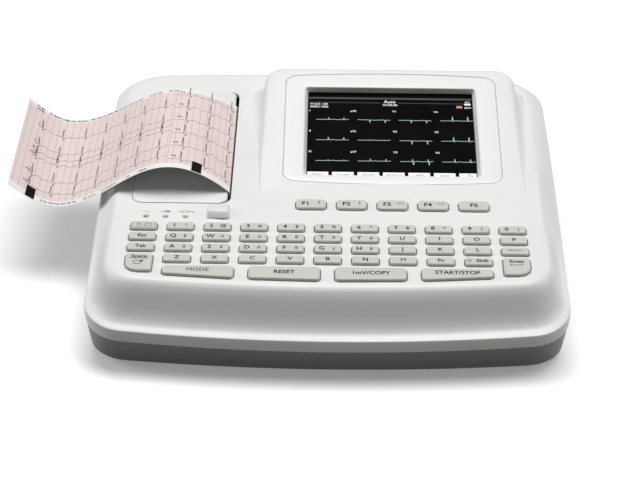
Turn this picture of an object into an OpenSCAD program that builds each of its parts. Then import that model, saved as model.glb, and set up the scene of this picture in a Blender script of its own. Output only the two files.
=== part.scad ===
// Desktop ECG machine: moulded housing, rubber keyboard, raised screen, paper door with thermal printer.
// Millimetres. Origin on the table under the middle of the housing, X to the right, Y to the rear, Z up.

/* [Housing] */
// Width of the housing across its side walls
body_w = 310; // [306:1:330]
// Depth of the housing from the front bow to the rear bow
body_d = 290; // [286:1:310]
// Slope of the key deck above the table, in degrees
deck_tilt = 4; // [3.5:0.25:5]
// Height of the deck above the table at the number row
deck_h = 63; // [62:0.5:70]
// Distance from the front bow back to the number row
row_from_front = 82.6; // [82:0.2:90]
// Wall thickness of the top cover
cover_wall = 2.8; // [2.4:0.1:3]
// Wall thickness of the bottom tray
tray_wall = 2.5; // [2:0.1:3]
// Height of the lip crest above the table at the front
lip_h = 31.4; // [29:0.2:33]
// Rise of the lip and the parting line towards the rear, in degrees
lip_rise = 9.65; // [8:0.25:10]
// Height of the white band under the lip crest
lip_band = 8.4; // [7:0.2:10]
// Radius of the lip's outer edge
lip_r = 1.8; // [1:0.2:2.4]
// Drop from the deck to the lip crest along the rear
rear_shoulder = 6.5; // [5:0.5:9]
// Width of the hollow slope between lip and deck at the front
slope_front = 22.6; // [20:0.2:22.8]
// Width of the hollow slope between lip and deck at the sides
slope_side = 15; // [13:0.5:15.5]
// Corner radius of the lip at the front
front_corner_r = 28; // [24:1:32]
// Corner radius of the lip at the rear
rear_corner_r = 38; // [34:1:42]
// Radius of the bowed front
front_bow_r = 1150; // [1000:50:1600]
// Radius of the bowed rear
rear_bow_r = 2600; // [2000:100:4000]

/* [Bottom tray] */
// Height of the tray's underside above the table, which is how far the feet stand out
foot_h = 3; // [2.5:0.5:5]
// Rounding along the tray's lower edge
tray_edge_r = 4; // [2:0.5:5]
// How far the tray's lower edge lies inside the housing at the front
tray_in_front = 7; // [5:0.5:9]
// How far the tray's lower edge lies inside the housing at the sides and rear
tray_in_side = 2.2; // [1.5:0.1:3]
// Gap at the parting line
part_gap = 0.3; // [0.2:0.05:0.5]
// Radius of a rubber foot
foot_r = 7; // [6:0.5:9]

/* [Screen hump] */
// Extra slope of the hump above the deck, in degrees
hump_tilt = 9.5; // [8.5:0.25:10]
// Distance from the number row back to where the hump starts
hump_from_row = 41.2; // [40.5:0.2:43]
// Width of the hump's top
hump_w = 178.5; // [176:0.5:184]
// Middle of the hump, right of the machine's middle
hump_x = 42.8; // [42:0.2:44]
// Length of the hump's top
hump_len = 133; // [131:1:138]
// Radius of the hump's upper edge
hump_edge_r = 5; // [3:0.5:6]
// How far the hump's foot flares out
hump_flare = 7; // [4:0.5:8]
// Corner radius of the hump's top at the rear
hump_corner_r = 14; // [12:1:20]

/* [Screen] */
// Width of the lit screen area
screen_w = 115.2; // [113:0.2:116]
// Height of the lit screen area
screen_h = 86.4; // [84:0.2:87]
// Distance from the hump's start back to the screen's middle
screen_y = 65.8; // [65:0.2:67]
// Depth of the screen glass under the hump's top
screen_depth = 5.6; // [5:0.2:7]
// Width of the bezel
bezel_w = 148.4; // [146:0.4:152]
// Height of the bezel
bezel_h = 115.2; // [113:0.4:117]
// Distance from the hump's start back to the bezel's middle
bezel_y = 67.9; // [67:0.1:69]
// Corner radius of the bezel
bezel_r = 8; // [6:0.5:10]
// Gap round the bezel
bezel_gap = 0.35; // [0.2:0.05:0.6]
// Width of the ledge that the bezel rests on
bezel_ledge = 3.5; // [3:0.25:4]
// Thickness of the bezel's flange
bezel_t = 1.5; // [1.2:0.1:1.7]

/* [Keyboard] */
// Distance between key columns
col_pitch = 24; // [23:0.25:24.25]
// Distance between key rows
row_pitch = 11.73; // [11.4:0.05:11.8]
// Width of an ordinary key
key_w = 17.8; // [16:0.2:18.4]
// Depth of an ordinary key
key_d = 8.5; // [7.8:0.1:8.8]
// Height of the keys above the deck
key_rise = 2; // [1.6:0.1:2.6]
// Gap between a key and the edge of its hole
key_gap = 0.4; // [0.3:0.05:0.6]
// Travel of a key
key_travel = 1.5; // [1:0.1:1.5]
// Width of a function key under the screen
fkey_w = 20.6; // [18:0.2:21]
// Depth of a function key under the screen
fkey_d = 11; // [9:0.2:12]
// Distance between function keys
fkey_pitch = 26.95; // [26:0.05:27.2]
// Middle of the function key row, right of the machine's middle
fkey_x = 42.5; // [42:0.5:43]
// Distance from the number row back to the function keys
fkey_y = 27; // [26.6:0.1:27.4]
// Width of a big key along the front
bigkey_w = 45.8; // [44:0.2:47]
// Distance from the number row down to the rear edge of the big keys
bigkey_rear = 43; // [42.6:0.1:43.4]
// Distance from the number row down to the bowed front edge of the big keys
bigkey_front = 57.3; // [56:0.1:57.5]

/* [Paper door] */
// Width of the door from its hinge edge to the slot
door_w = 63.3; // [63:0.1:63.5]
// How much longer the door is, front to rear, than the chart paper is wide
door_over = 32.4; // [32:0.1:33]
// Thickness of the door plate
door_t = 3; // [2.8:0.1:3.2]
// Height of the door's top above the deck
door_rise = 0.5; // [0.3:0.1:0.6]
// Left edge of the door, left of the machine's middle
door_left = 130.5; // [130.3:0.1:130.7]
// Distance from the number row back to the door's front edge
door_front = 28.1; // [28:0.05:28.2]
// Corner radius of the door
door_r = 7; // [5:0.5:8]
// Gap round the door
door_gap = 0.4; // [0.35:0.05:0.5]
// Width of the paper slot between door and deck
slot_w = 2.2; // [2:0.1:2.4]

/* [Printer] */
// Width of the chart paper
paper_w = 110; // [108:1:110]
// Thickness of the modelled paper
paper_t = 0.2; // [0.15:0.05:0.25]
// Radius of the rubber platen
platen_r = 6; // [5.8:0.1:6]
// Radius of the platen shaft
platen_shaft_r = 2; // [1.8:0.1:2.2]
// Radius of the paper roll
roll_r = 24; // [20:0.5:24]
// Radius of the roll's cardboard core
core_r = 8.2; // [7.6:0.1:9]
// Module of the printer's gears
gear_module = 0.75; // [0.75:0.01:0.76]
// Teeth on the platen gear
platen_teeth = 14; // [14]
// Teeth on the idler gear
idler_teeth = 40; // [40]
// Teeth on the motor pinion
pinion_teeth = 10; // [10]
// Radius of the stepper motor
motor_r = 12; // [11:0.25:12]
// Length of the stepper motor
motor_l = 20; // [16:0.5:24]
// Height of the paper's crest over the door at its front edge
crest_front = 20; // [18:0.5:24]
// Height of the paper's crest over the door at its rear edge
crest_rear = 14.2; // [12:0.5:20]

/* [Latch] */
// Width of the latch tab at its foot
latch_w = 14.7; // [13:0.1:15]
// Length of the latch tab
latch_l = 12.2; // [12:0.1:12.4]
// Height of the latch tab above the deck
latch_rise = 4.4; // [3.5:0.1:5]
// Travel of the latch towards the front
latch_travel = 3; // [2.5:0.1:3]

/* [Hidden] */

// Steps along the curved outlines
corner_steps = 9;
side_steps = 16;
bow_steps = 7;
rear_steps = 4;
slope_steps = 9;
eps = 0.01;

// ---- Heights over the table ----
row_y = -body_d / 2 + row_from_front;
lip_blend = 3;
groove_fade = 8;
groove_full = 12;

function clamp(v, lo, hi) = min(max(v, lo), hi);
function soft_min(a, b, k) = (a + b - sqrt((a - b) ^ 2 + k ^ 2)) / 2;
function smooth(t) = t * t * (3 - 2 * t);
function deck_z(y) = deck_h + (y - row_y) * tan(deck_tilt);
function lip_line(y) = lip_h + (y + body_d / 2) * tan(lip_rise);
function lip_z(y) = soft_min(lip_line(y), deck_z(y) - rear_shoulder, lip_blend);
function part_z(y) = lip_z(y) - lip_band;
// 1 where the hollow slope is full, 0 where the side has become a plain rounded edge
function hollow(y) = clamp((deck_z(y) - lip_z(y) - groove_fade) / groove_full, 0, 1);

// ---- Plan outlines ----
// Right half of the housing's plan, from the middle of the front round to the middle of the rear
function half_outline(in_s, in_f, in_r, rf, rr) =
  let (
    w = body_w / 2 - in_s,
    bow_f = front_bow_r - in_f,
    bow_r = rear_bow_r - in_r,
    cf = -body_d / 2 + front_bow_r,
    cr = body_d / 2 - rear_bow_r,
    yf = cf - sqrt((bow_f - rf) ^ 2 - (w - rf) ^ 2),
    yr = cr + sqrt((bow_r - rr) ^ 2 - (w - rr) ^ 2),
    af = atan2(yf - cf, w - rf),
    ar = atan2(yr - cr, w - rr),
    xf = w - rf + rf * cos(af),
    xr = w - rr + rr * cos(ar)
  )
  concat(
    [for (i = [0:bow_steps - 1]) let (x = xf * i / bow_steps) [x, cf - sqrt(bow_f ^ 2 - x ^ 2)]],
    [for (i = [0:corner_steps])
      let (a = af * (1 - i / corner_steps)) [w - rf + rf * cos(a), yf + rf * sin(a)]],
    [for (i = [1:side_steps - 1]) [w, yf + (yr - yf) * i / side_steps]],
    [for (i = [0:corner_steps]) let (a = ar * i / corner_steps) [w - rr + rr * cos(a), yr + rr * sin(a)]],
    [for (i = [rear_steps - 1:-1:0]) let (x = xr * i / rear_steps) [x, cr + sqrt(bow_r ^ 2 - x ^ 2)]]
  );
function whole_outline(half) =
  concat(half, [for (i = [len(half) - 2:-1:1]) [-half[i].x, half[i].y]]);
// Outline at a share s of the way up the slope between lip and deck, moved in by extra
function slope_outline(s, extra) =
  whole_outline(half_outline(
    lip_r + (slope_side - lip_r) * s + extra,
    lip_r + (slope_front - lip_r) * s + extra,
    lip_r + (slope_side - lip_r) * s + extra,
    front_corner_r - (lip_r + 0.5 * (slope_side - lip_r) * s) - extra,
    rear_corner_r - (lip_r + 0.8 * (slope_side - lip_r) * s) - extra));
function lip_outline(inset) =
  whole_outline(half_outline(inset, inset, inset, front_corner_r - inset, rear_corner_r - inset));
// Height of the cover's outside at a share s up the slope
function slope_z(s, y) =
  let (
    g = hollow(y),
    d = deck_z(y) - lip_z(y),
    concave = smooth(s ^ 1.5 * (1.3 - 0.3 * s ^ 2.7)),
    start = 0.18,
    convex = start + (1 - start) * sin(90 * s)
  )
  lip_z(y) + d * (g * concave + (1 - g) * convex);

// ---- Solids through a stack of outlines ----
// Each ring is a closed list of points, seen from above in anticlockwise order; ends close in strips
module loft(rings) {
  n = len(rings[0]);
  last = len(rings) - 1;
  points = [for (ring = rings) for (p = ring) p];
  sides = [for (k = [0:last - 1]) for (i = [0:n - 1]) for (face = [
      [k * n + i, (k + 1) * n + i, (k + 1) * n + (i + 1) % n],
      [k * n + i, (k + 1) * n + (i + 1) % n, k * n + (i + 1) % n]]) face];
  bottom = cap_strips(n, 0, false);
  top = cap_strips(n, last * n, true);
  polyhedron(points, concat(sides, bottom, top));
}
// Strips across a ring that is the same on its left and right
function cap_strips(n, first, flip) = [
  for (i = [0:n / 2 - 1]) let (
      j = i + 1,
      a = first + i,
      b = first + j,
      c = first + (n - j) % n,
      d = first + (n - i) % n,
      quad = i == 0 ? [a, b, c] : (j == n / 2 ? [a, b, d] : [a, b, c, d]))
    for (tri = len(quad) == 3 ? [quad] : [[a, b, c], [a, c, d]])
      flip ? [tri[2], tri[1], tri[0]] : tri];
function at_z(outline, z) = [for (p = outline) [p.x, p.y, z]];

// Rounded rectangle as a list of points, n steps in each corner
function rounded(w, d, r, n) = [
  for (c = [[1, -1, -90], [1, 1, 0], [-1, 1, 90], [-1, -1, 180]]) for (i = [0:n])
    let (a = c[2] + 90 * i / n)
    [c[0] * (w / 2 - r) + r * cos(a), c[1] * (d / 2 - r) + r * sin(a)]];
module plate(w, d, r, z0, z1, n = 6) {
  translate([0, 0, z0]) linear_extrude(z1 - z0) polygon(rounded(w, d, r, n));
}
// Box from its low corner to its high corner
module span(lo, hi) {
  translate(lo) cube(hi - lo);
}
// Cylinder along Y from y0 to y1
module rod_y(x, z, r, y0, y1, sides = 48) {
  translate([x, y1, z]) rotate([90, 0, 0]) cylinder(h = y1 - y0, r = r, $fn = sides);
}
// Cylinder along X from x0 to x1
module rod_x(y, z, r, x0, x1, sides = 40) {
  translate([x0, y, z]) rotate([0, 90, 0]) cylinder(h = x1 - x0, r = r, $fn = sides);
}
module rod_z(x, y, r, z0, z1, sides = 32) {
  translate([x, y, z0]) cylinder(h = z1 - z0, r = r, $fn = sides);
}

// ---- Places ----
module on_deck() {
  translate([0, row_y, deck_h]) rotate([deck_tilt, 0, 0]) children();
}
module on_hump() {
  on_deck() translate([hump_x, hump_from_row, 0]) rotate([hump_tilt, 0, 0]) children();
}

// ---- Top cover ----
function cover_ring(s, extra) =
  [for (p = slope_outline(s, extra)) [p.x, p.y, slope_z(s, p.y) - extra]];
// Rings of the white band and the lip's rounded edge; edge lists the inset and the drop of each
function band_ring(inset, drop, lift, extra) =
  [for (p = lip_outline(inset + extra)) [p.x, p.y, lip_z(p.y) - drop + lift * (1 - hollow(p.y)) - extra]];
function cover_rings(extra, low) = concat(
  [[for (p = lip_outline(extra + (extra > 0 ? 0 : part_gap))) [p.x, p.y, part_z(p.y) - low]]],
  [band_ring(0, lip_r, 0, extra)],
  [band_ring(lip_r * (1 - cos(45)), lip_r * (1 - sin(45)), 0.5, extra)],
  [for (i = [0:slope_steps]) cover_ring(i / slope_steps, extra)]);

// Outline of the hump's top as points with their outward directions
hump_front = -5;
hump_front_r = 6;
function hump_base() = [
  for (c = [[1, 0, -90], [1, 1, 0], [-1, 1, 90], [-1, 0, 180]])
    let (r = c[1] == 1 ? hump_corner_r : hump_front_r)
    for (i = [0:corner_steps]) let (
        a = c[2] + 90 * i / corner_steps,
        cx = c[0] * (hump_w / 2 - r),
        cy = c[1] == 1 ? hump_len - r : hump_front + r)
      [cx + r * cos(a), cy + r * sin(a), cos(a), sin(a)]];
function hump_drop(y) = max(y * tan(hump_tilt), 1);
function hump_edge(phi) = [
  for (p = hump_base()) let (r = min(hump_edge_r, 0.45 * hump_drop(p.y)), u = -r + r * sin(phi))
    [p.x + p[2] * u, p.y + p[3] * u, -r * (1 - cos(phi))]];
hump_draft = 1.5;
hump_full = 12;
function hump_flank(t) = [
  for (p = hump_base()) let (
      drop = hump_drop(p.y),
      r = min(hump_edge_r, 0.45 * drop),
      u = hump_draft * t + hump_flare * t ^ 4 * min(1, drop / hump_full))
    [p.x + p[2] * u, p.y + p[3] * u, -r - (drop - r) * t]];
// Where the flank ends inside the deck's wall
function hump_foot() = [
  for (p = hump_base()) let (
      drop = hump_drop(p.y),
      u = hump_draft + hump_flare * min(1, drop / hump_full) + 1,
      y = p.y + p[3] * u)
    [p.x + p[2] * u, y, -max(y * tan(hump_tilt), 0) - cover_wall * 0.75]];
module hump_outer() {
  rings = concat([hump_foot()],
    [for (t = [1, 0.85, 0.6, 0.3]) hump_flank(t)],
    [for (phi = [90, 60, 30, 0]) hump_edge(phi)]);
  n = len(rings[0]);
  last = len(rings) - 1;
  points = [for (ring = rings) for (p = ring) p];
  sides = [for (k = [0:last - 1]) for (i = [0:n - 1]) for (face = [
      [k * n + i, (k + 1) * n + i, (k + 1) * n + (i + 1) % n],
      [k * n + i, (k + 1) * n + (i + 1) % n, k * n + (i + 1) % n]]) face];
  polyhedron(points, concat(sides,
    [for (i = [1:n - 2]) [0, i, i + 1]],
    [for (i = [1:n - 2]) [last * n, last * n + i + 1, last * n + i]]));
}
hump_hollow_depth = 60;
module hump_inner() {
  inset = cover_wall + 1;
  translate([0, (hump_len + hump_front) / 2 + inset, -hump_hollow_depth])
    linear_extrude(hump_hollow_depth - cover_wall)
      polygon(rounded(hump_w - 2 * inset, hump_len - hump_front - 4 * inset, hump_front_r, 4));
}

// ---- Keys ----
// Each key: left, right, rear, front at its left end, front at its right end,
// then the corner radii front right, rear right, rear left, front left
key_r = 1.8;
bigkey_r = 3;
outer_r = 9;
function col_x(c) = (c - 5) * col_pitch;
function row_of(r) = -r * row_pitch;
function plain_key(c, r) = [
  col_x(c) - key_w / 2, col_x(c) + key_w / 2, row_of(r) + key_d / 2,
  row_of(r) - key_d / 2, row_of(r) - key_d / 2, key_r, key_r, key_r, key_r];
function f_key(i) = let (x = fkey_x + (i - 2) * fkey_pitch) [
  x - fkey_w / 2, x + fkey_w / 2, fkey_y + fkey_d / 2,
  fkey_y - fkey_d / 2, fkey_y - fkey_d / 2, bigkey_r, bigkey_r, bigkey_r, bigkey_r];
bigkey_pitch = 54.6;
function bow_y(x) = -bigkey_front + front_bow_r - sqrt(front_bow_r ^ 2 - x ^ 2);
function big_key(i) = let (x = (i - 1.5) * bigkey_pitch, a = x - bigkey_w / 2, b = x + bigkey_w / 2) [
  a, b, -bigkey_rear, bow_y(a), bow_y(b), bigkey_r, bigkey_r, bigkey_r, bigkey_r];
corner_key_deep = 1.6;
function space_key_box() = let (x = col_x(0), rear = row_of(3) + key_d / 2) [
  x - key_w / 2, x + key_w / 2, rear,
  rear - 2 * key_d - corner_key_deep, rear - 2 * key_d - corner_key_deep, key_r, key_r, key_r, outer_r];
function enter_key_box() = let (x = col_x(10), rear = row_of(3) + key_d / 2) [
  x - key_w / 2, x + key_w / 2, rear,
  rear - 2 * key_d - corner_key_deep, rear - 2 * key_d - corner_key_deep, outer_r, key_r, key_r, key_r];
number_row = [for (c = [1:10]) plain_key(c, 0)];
upper_row = [for (c = [1:10]) plain_key(c, 1)];
middle_row = [for (c = [1:9]) plain_key(c, 2)];
lower_row = [for (c = [1:7]) plain_key(c, 3)];
all_keys = concat(number_row, upper_row, middle_row, lower_row,
  [for (r = [0:2]) plain_key(0, r)], [plain_key(10, 2), plain_key(8, 3), plain_key(9, 3)],
  [space_key_box(), enter_key_box()],
  [for (i = [0:3]) big_key(i)], [for (i = [0:4]) f_key(i)]);

// Outline of a key, grown by g on every side
least_r = 0.4;
function key_outline(k, g, n = 3) =
  let (corners = [
      [k[1] + g, k[4] - g, k[5], -90, 1, -1],
      [k[1] + g, k[2] + g, k[6], 0, 1, 1],
      [k[0] - g, k[2] + g, k[7], 90, -1, 1],
      [k[0] - g, k[3] - g, k[8], 180, -1, -1]])
  [for (c = corners) for (i = [0:n]) let (a = c[3] + 90 * i / n, r = max(c[2] + g, least_r))
      [c[0] - c[4] * r + r * cos(a), c[1] - c[5] * r + r * sin(a)]];
module key_prism(k, g, z0, z1) {
  translate([0, 0, z0]) linear_extrude(z1 - z0) polygon(key_outline(k, g));
}
run_gap = 0.3;
flange_t = 1;
flange_out = 0.9;
flange_top = -cover_wall - run_gap;
flange_low = flange_top - flange_t;
key_top_wall = 1.8;
cap_wall = 2;
cap_soft = 0.9;
// A hollow rubber key with a retaining flange and a softly rounded top
module key_cap(k) {
  difference() {
    union() {
      key_prism(k, flange_out, flange_low, flange_top);
      key_prism(k, 0, flange_top - eps, key_rise - cap_soft + eps);
      key_crown(k);
    }
    key_prism(k, -cap_wall, flange_low - 1, key_rise - key_top_wall);
  }
}
module key_crown(k) {
  steps = [[0, cap_soft], [cap_soft * 0.3, cap_soft * 0.3], [cap_soft, 0]];
  rings = [for (s = steps) [for (p = key_outline(k, -s[0])) [p.x, p.y, key_rise - s[1]]]];
  n = len(rings[0]);
  last = len(rings) - 1;
  sides = [for (j = [0:last - 1]) for (i = [0:n - 1]) for (face = [
      [j * n + i, (j + 1) * n + i, (j + 1) * n + (i + 1) % n],
      [j * n + i, (j + 1) * n + (i + 1) % n, j * n + (i + 1) % n]]) face];
  polyhedron([for (ring = rings) for (p = ring) p], concat(sides,
    [[for (i = [0:n - 1]) i]],
    [[for (i = [n - 1:-1:0]) last * n + i]]));
}
module keys(list) {
  color([0.80, 0.80, 0.77]) on_deck() for (k = list) key_cap(k);
}

// ---- Keypad mat and key board under the deck ----
mat_t = 1;
mat_top = flange_low - key_travel - run_gap;
mat_low = mat_top - mat_t;
board_t = 1.6;
board_low = mat_low - board_t;
dome_r = 1.9;
dome_tip_r = 1.3;
dome_top = key_rise - key_top_wall - key_travel - run_gap;
board_half = 133.5;
board_rear = 6.2;
board_front = bigkey_front + flange_out + 0.3;
mat_in = 0.7;
led_x = [-119.8, -106.9, -93.8];
led_y = 12.5;
led_r = 1.5;
boss_r = 1.7;
// Bosses between the key columns that hold the key board
boss_at = [for (c = [0.5, 3.5, 6.5, 9.5]) [col_x(c), row_of(1.5)]];
fboss_at = [for (i = [0.5, 3.5]) [fkey_x + (i - 2) * fkey_pitch, fkey_y]];

// Plan of the key board: bowed in front, with a tongue under the F keys
corner_relief = 12;
module board_outline(g) {
  union() {
    difference() {
      translate([-board_half + g, -board_front - 1])
        square([2 * (board_half - g), board_front + 1 + board_rear - g]);
      difference() {
        translate([-body_w, -board_front - 60]) square([2 * body_w, 100]);
        translate([0, -board_front + g + front_bow_r]) circle(r = front_bow_r, $fn = 240);
      }
      for (side = [-1, 1]) translate([side * board_half, -board_front + 3]) rotate(45)
        square(corner_relief + 2 * g, center = true);
    }
    translate([fkey_x - 2.5 * fkey_pitch + g, board_rear - g - 1])
      square([5 * fkey_pitch - 2 * g, fkey_y + fkey_d / 2 + 1.5 - board_rear + 1]);
  }
}

// ---- Printer places, on the deck ----
// The door turns about the middle of its left corners' rounding, so that they swing clear
hinge_x = -door_left + door_r;
hinge_z = door_rise - 2.2;
hinge_rod_r = 0.75;
knuckle_r = 1.9;
snug = 0.02;
door_l = paper_w + door_over;
door_right = -door_left + door_w;
opening_right = door_right + slot_w;
paper_gap = 0.25;
platen_x = opening_right - 1.15 - paper_gap - paper_t - platen_r;
platen_z = door_rise - door_t - 0.5 - platen_r;
paper_mid = door_front + door_l / 2 - 3.8;
paper_y0 = paper_mid - paper_w / 2;
paper_y1 = paper_mid + paper_w / 2;
cheek_t = 2.5;
cheek_gap = 3;
cheek_y0 = paper_y0 - cheek_gap;
cheek_y1 = paper_y1 + cheek_gap;
gear_t = 5;
gear_y0 = cheek_y1 + cheek_t + 1;
idler_z = platen_z - gear_module * (platen_teeth + idler_teeth) / 2;
pinion_reach = gear_module * (pinion_teeth + idler_teeth) / 2;
pinion_angle = -12;
motor_x = platen_x + pinion_reach * cos(pinion_angle);
motor_z = idler_z + pinion_reach * sin(pinion_angle);
roll_x = platen_x - 25.5;
roll_z = platen_z - 20.5;
well_gap = 2;
well_wall = 2;
well_r = roll_r + well_gap;
fit = 0.05;

module top_cover() {
  color([0.93, 0.93, 0.92]) difference() {
    union() {
      loft(cover_rings(0, 0));
      on_hump() hump_outer();
    }
    difference() {
      union() {
        loft(cover_rings(cover_wall, cover_wall + 6));
        on_hump() hump_inner();
      }
      cover_posts();
      on_deck() key_bosses();
      on_deck() latch_rib();
    }
    cover_post_bores();
    on_deck() {
      for (k = all_keys) key_prism(k, key_gap, -cover_wall - 1, 3);
      door_opening();
      latch_opening();
      for (x = led_x) rod_z(x, led_y, led_r + key_gap, -cover_wall - 1, 2);
    }
    on_hump() bezel_opening();
  }
}
module door_opening() {
  w = opening_right + door_left + door_gap;
  translate([opening_right - w / 2, door_front + door_l / 2, 0])
    plate(w, door_l + 2 * door_gap, door_r + door_gap, -cover_wall - 1, 4);
}

// Posts that take the case screws
post_r = 2.6;
post_x = body_w / 2 - slope_side - 1;
post_at = [for (side = [-1, 1])
  for (p = [[0, 47 - body_d / 2], [0, 0], [5, body_d / 2 - 39]]) [side * (post_x - p.x), p.y]];
screw_r = 1.5;
screw_bore = screw_r + fit;
post_drop = 0.3;
module cover_posts() {
  for (p = post_at) rod_z(p.x, p.y, post_r, part_z(p.y) + post_drop, deck_z(p.y) - 2.2);
}
screw_grip = 8;
module cover_post_bores() {
  for (p = post_at) rod_z(p.x, p.y, screw_bore, part_z(p.y) - 1, part_z(p.y) + screw_grip + 1.5, 24);
}
module key_bosses() {
  for (p = concat(boss_at, fboss_at)) rod_z(p.x, p.y, boss_r, mat_low, -cover_wall + 1);
}

// ---- Latch ----
latch_x = -72.1;
latch_front = 10.3;
latch_rear = latch_front + latch_l;
stem_w = 8;
stem_l = 5;
stem_y = latch_front + 3.4;
stem_gap = 0.3;
latch_plate_t = 1.5;
hook_z = -6.7;
scoop_r = 30;
scoop_depth = 1.4;
module latch_opening() {
  span([latch_x - stem_w / 2 - stem_gap, stem_y - latch_travel - stem_gap, -cover_wall - 1],
    [latch_x + stem_w / 2 + stem_gap, stem_y + stem_l + stem_gap, 3]);
  translate([latch_x + 3, latch_front + 7, scoop_r - scoop_depth]) sphere(r = scoop_r, $fn = 72);
}
spring_r = 1.9;
spring_z = -7.6;
rib_t = 1.4;
rib_y = board_rear + 1;
module latch_rib() {
  span([latch_x - stem_w / 2, rib_y, spring_z - spring_r - 0.8],
    [latch_x + stem_w / 2, rib_y + rib_t, -cover_wall + 1]);
}
module door_latch() {
  tab_top = latch_rise;
  tab_low = run_gap;
  lean = 3.2;
  side_lean = 1.6;
  plate_top = -cover_wall - run_gap;
  plate_low = plate_top - latch_plate_t;
  post_y = stem_y + stem_l;
  color([0.90, 0.90, 0.88]) on_deck() union() {
    intersection() {
      translate([latch_x - latch_w / 2, 0, 0]) rotate([90, 0, 90]) linear_extrude(latch_w)
        polygon([[latch_front, tab_low], [latch_rear, tab_low], [latch_rear, tab_top * 0.72],
          [latch_rear - 3, tab_top * 0.93], [latch_rear - 6, tab_top], [latch_front + lean + 1, tab_top],
          [latch_front + lean, tab_top * 0.96], [latch_front + lean * 0.72, tab_top * 0.82]]);
      translate([latch_x, latch_rear, 0]) rotate([90, 0, 0]) linear_extrude(latch_l)
        polygon([[-latch_w / 2, tab_low], [latch_w / 2, tab_low], [latch_w / 2 - side_lean, tab_top],
          [-latch_w / 2 + side_lean * 0.4, tab_top]]);
    }
    span([latch_x - stem_w / 2, stem_y, plate_low], [latch_x + stem_w / 2, stem_y + stem_l, tab_low + 1]);
    span([latch_x - stem_w / 2 - 3, stem_y - 1.5, plate_low],
      [latch_x + stem_w / 2 + 3, latch_rear + 1.5, plate_top]);
    span([latch_x - 2, post_y, spring_z - spring_r], [latch_x + 2, post_y + 2.5, plate_low + 0.5]);
    span([latch_x - stem_w / 2, latch_rear, hook_z - latch_plate_t],
      [latch_x + stem_w / 2, latch_rear + 1.5, plate_low + 0.5]);
    span([latch_x - stem_w / 2, latch_rear, hook_z - latch_plate_t],
      [latch_x + stem_w / 2, striker_y - run_gap, hook_z]);
  }
}
// Open coil: a round wire swept along a helix, axis along +Y from the start
module coil(length, r, wire_r, turns) {
  steps = 9;
  sides = 5;
  n = steps * turns;
  rise = length - 2 * wire_r;
  ring = function (i) let (a = 360 * i / steps, c = [r * cos(a), wire_r + rise * i / n, r * sin(a)])
    [for (j = [0:sides - 1]) let (b = 360 * j / sides)
        [(r + wire_r * cos(b)) * cos(a), c.y + wire_r * sin(b), (r + wire_r * cos(b)) * sin(a)]];
  points = [for (i = [0:n]) for (p = ring(i)) p];
  polyhedron(points, concat(
    [for (i = [0:n - 1]) for (j = [0:sides - 1]) for (face = [
        [i * sides + j, (i + 1) * sides + (j + 1) % sides, (i + 1) * sides + j],
        [i * sides + j, i * sides + (j + 1) % sides, (i + 1) * sides + (j + 1) % sides]]) face],
    [[for (j = [sides - 1:-1:0]) j]],
    [[for (j = [0:sides - 1]) n * sides + j]]));
}
spring_wire = 0.35;
module latch_spring() {
  y0 = rib_y + rib_t + 0.1;
  color("silver") on_deck() translate([latch_x, y0, spring_z])
    coil(stem_y + stem_l - 0.1 - y0, spring_r - spring_wire, spring_wire, 5);
}

// ---- Screen ----
module bezel_opening() {
  translate([bezel_dx, bezel_y, 0]) {
    plate(bezel_w + 2 * bezel_gap, bezel_h + 2 * bezel_gap, bezel_r + bezel_gap, -bezel_t, 3);
    plate(bezel_w - 2 * bezel_ledge, bezel_h - 2 * bezel_ledge, bezel_r - bezel_ledge, -cover_wall - 9, 3);
  }
}
bezel_dx = 0.4;
screen_dx = 0.2;
skirt_gap = 0.3;
window_play = 0.7;
window_flare = 2.4;
lcd_gap = 0.2;
lcd_rim = 0.5;
lcd_w = 144;
lcd_h = 104.6;
lcd_t = 11.5;
lcd_top = -screen_depth + lcd_rim;
module screen_bezel() {
  low = lcd_top + lcd_gap;
  deep = -low;
  w0 = screen_w + 2 * window_play;
  h0 = screen_h + 2 * window_play;
  color([0.94, 0.94, 0.93]) on_hump() difference() {
    translate([bezel_dx, bezel_y, 0]) union() {
      plate(bezel_w, bezel_h, bezel_r, -bezel_t, 0);
      plate(bezel_w - 2 * (bezel_ledge + skirt_gap), bezel_h - 2 * (bezel_ledge + skirt_gap),
        bezel_r - bezel_ledge - skirt_gap, low, -bezel_t + eps);
    }
    // The window flares towards the front of the screen
    intersection() {
      translate([screen_dx, screen_y, low - eps]) rotate([90, 0, 0]) translate([0, 0, -screen_h])
        linear_extrude(2 * screen_h) polygon([[-w0 / 2, 0], [w0 / 2, 0],
          [w0 / 2 + window_flare, deep + 1], [-w0 / 2 - window_flare, deep + 1]]);
      translate([screen_dx, screen_y, low - eps]) rotate([90, 0, 90]) translate([0, 0, -screen_w])
        linear_extrude(2 * screen_w) polygon([[-h0 / 2, 0], [h0 / 2, 0],
          [h0 / 2 + window_flare, deep + 1], [-h0 / 2 - window_flare, deep + 1]]);
    }
  }
}
module lcd_panel() {
  color([0.05, 0.05, 0.06]) on_hump() translate([screen_dx, screen_y, 0]) difference() {
    plate(lcd_w, lcd_h, 1.5, lcd_top - lcd_t, lcd_top);
    plate(screen_w + 1, screen_h + 1, 0.5, lcd_top - lcd_rim, lcd_top + 1);
  }
}
bracket_t = 1.2;
bracket_low = lcd_top - lcd_t - bracket_t;
ear_x = lcd_w / 2 + 6;
ear_y = [-38, 44];
ear_r = 5;
ear_boss_r = 3;
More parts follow.
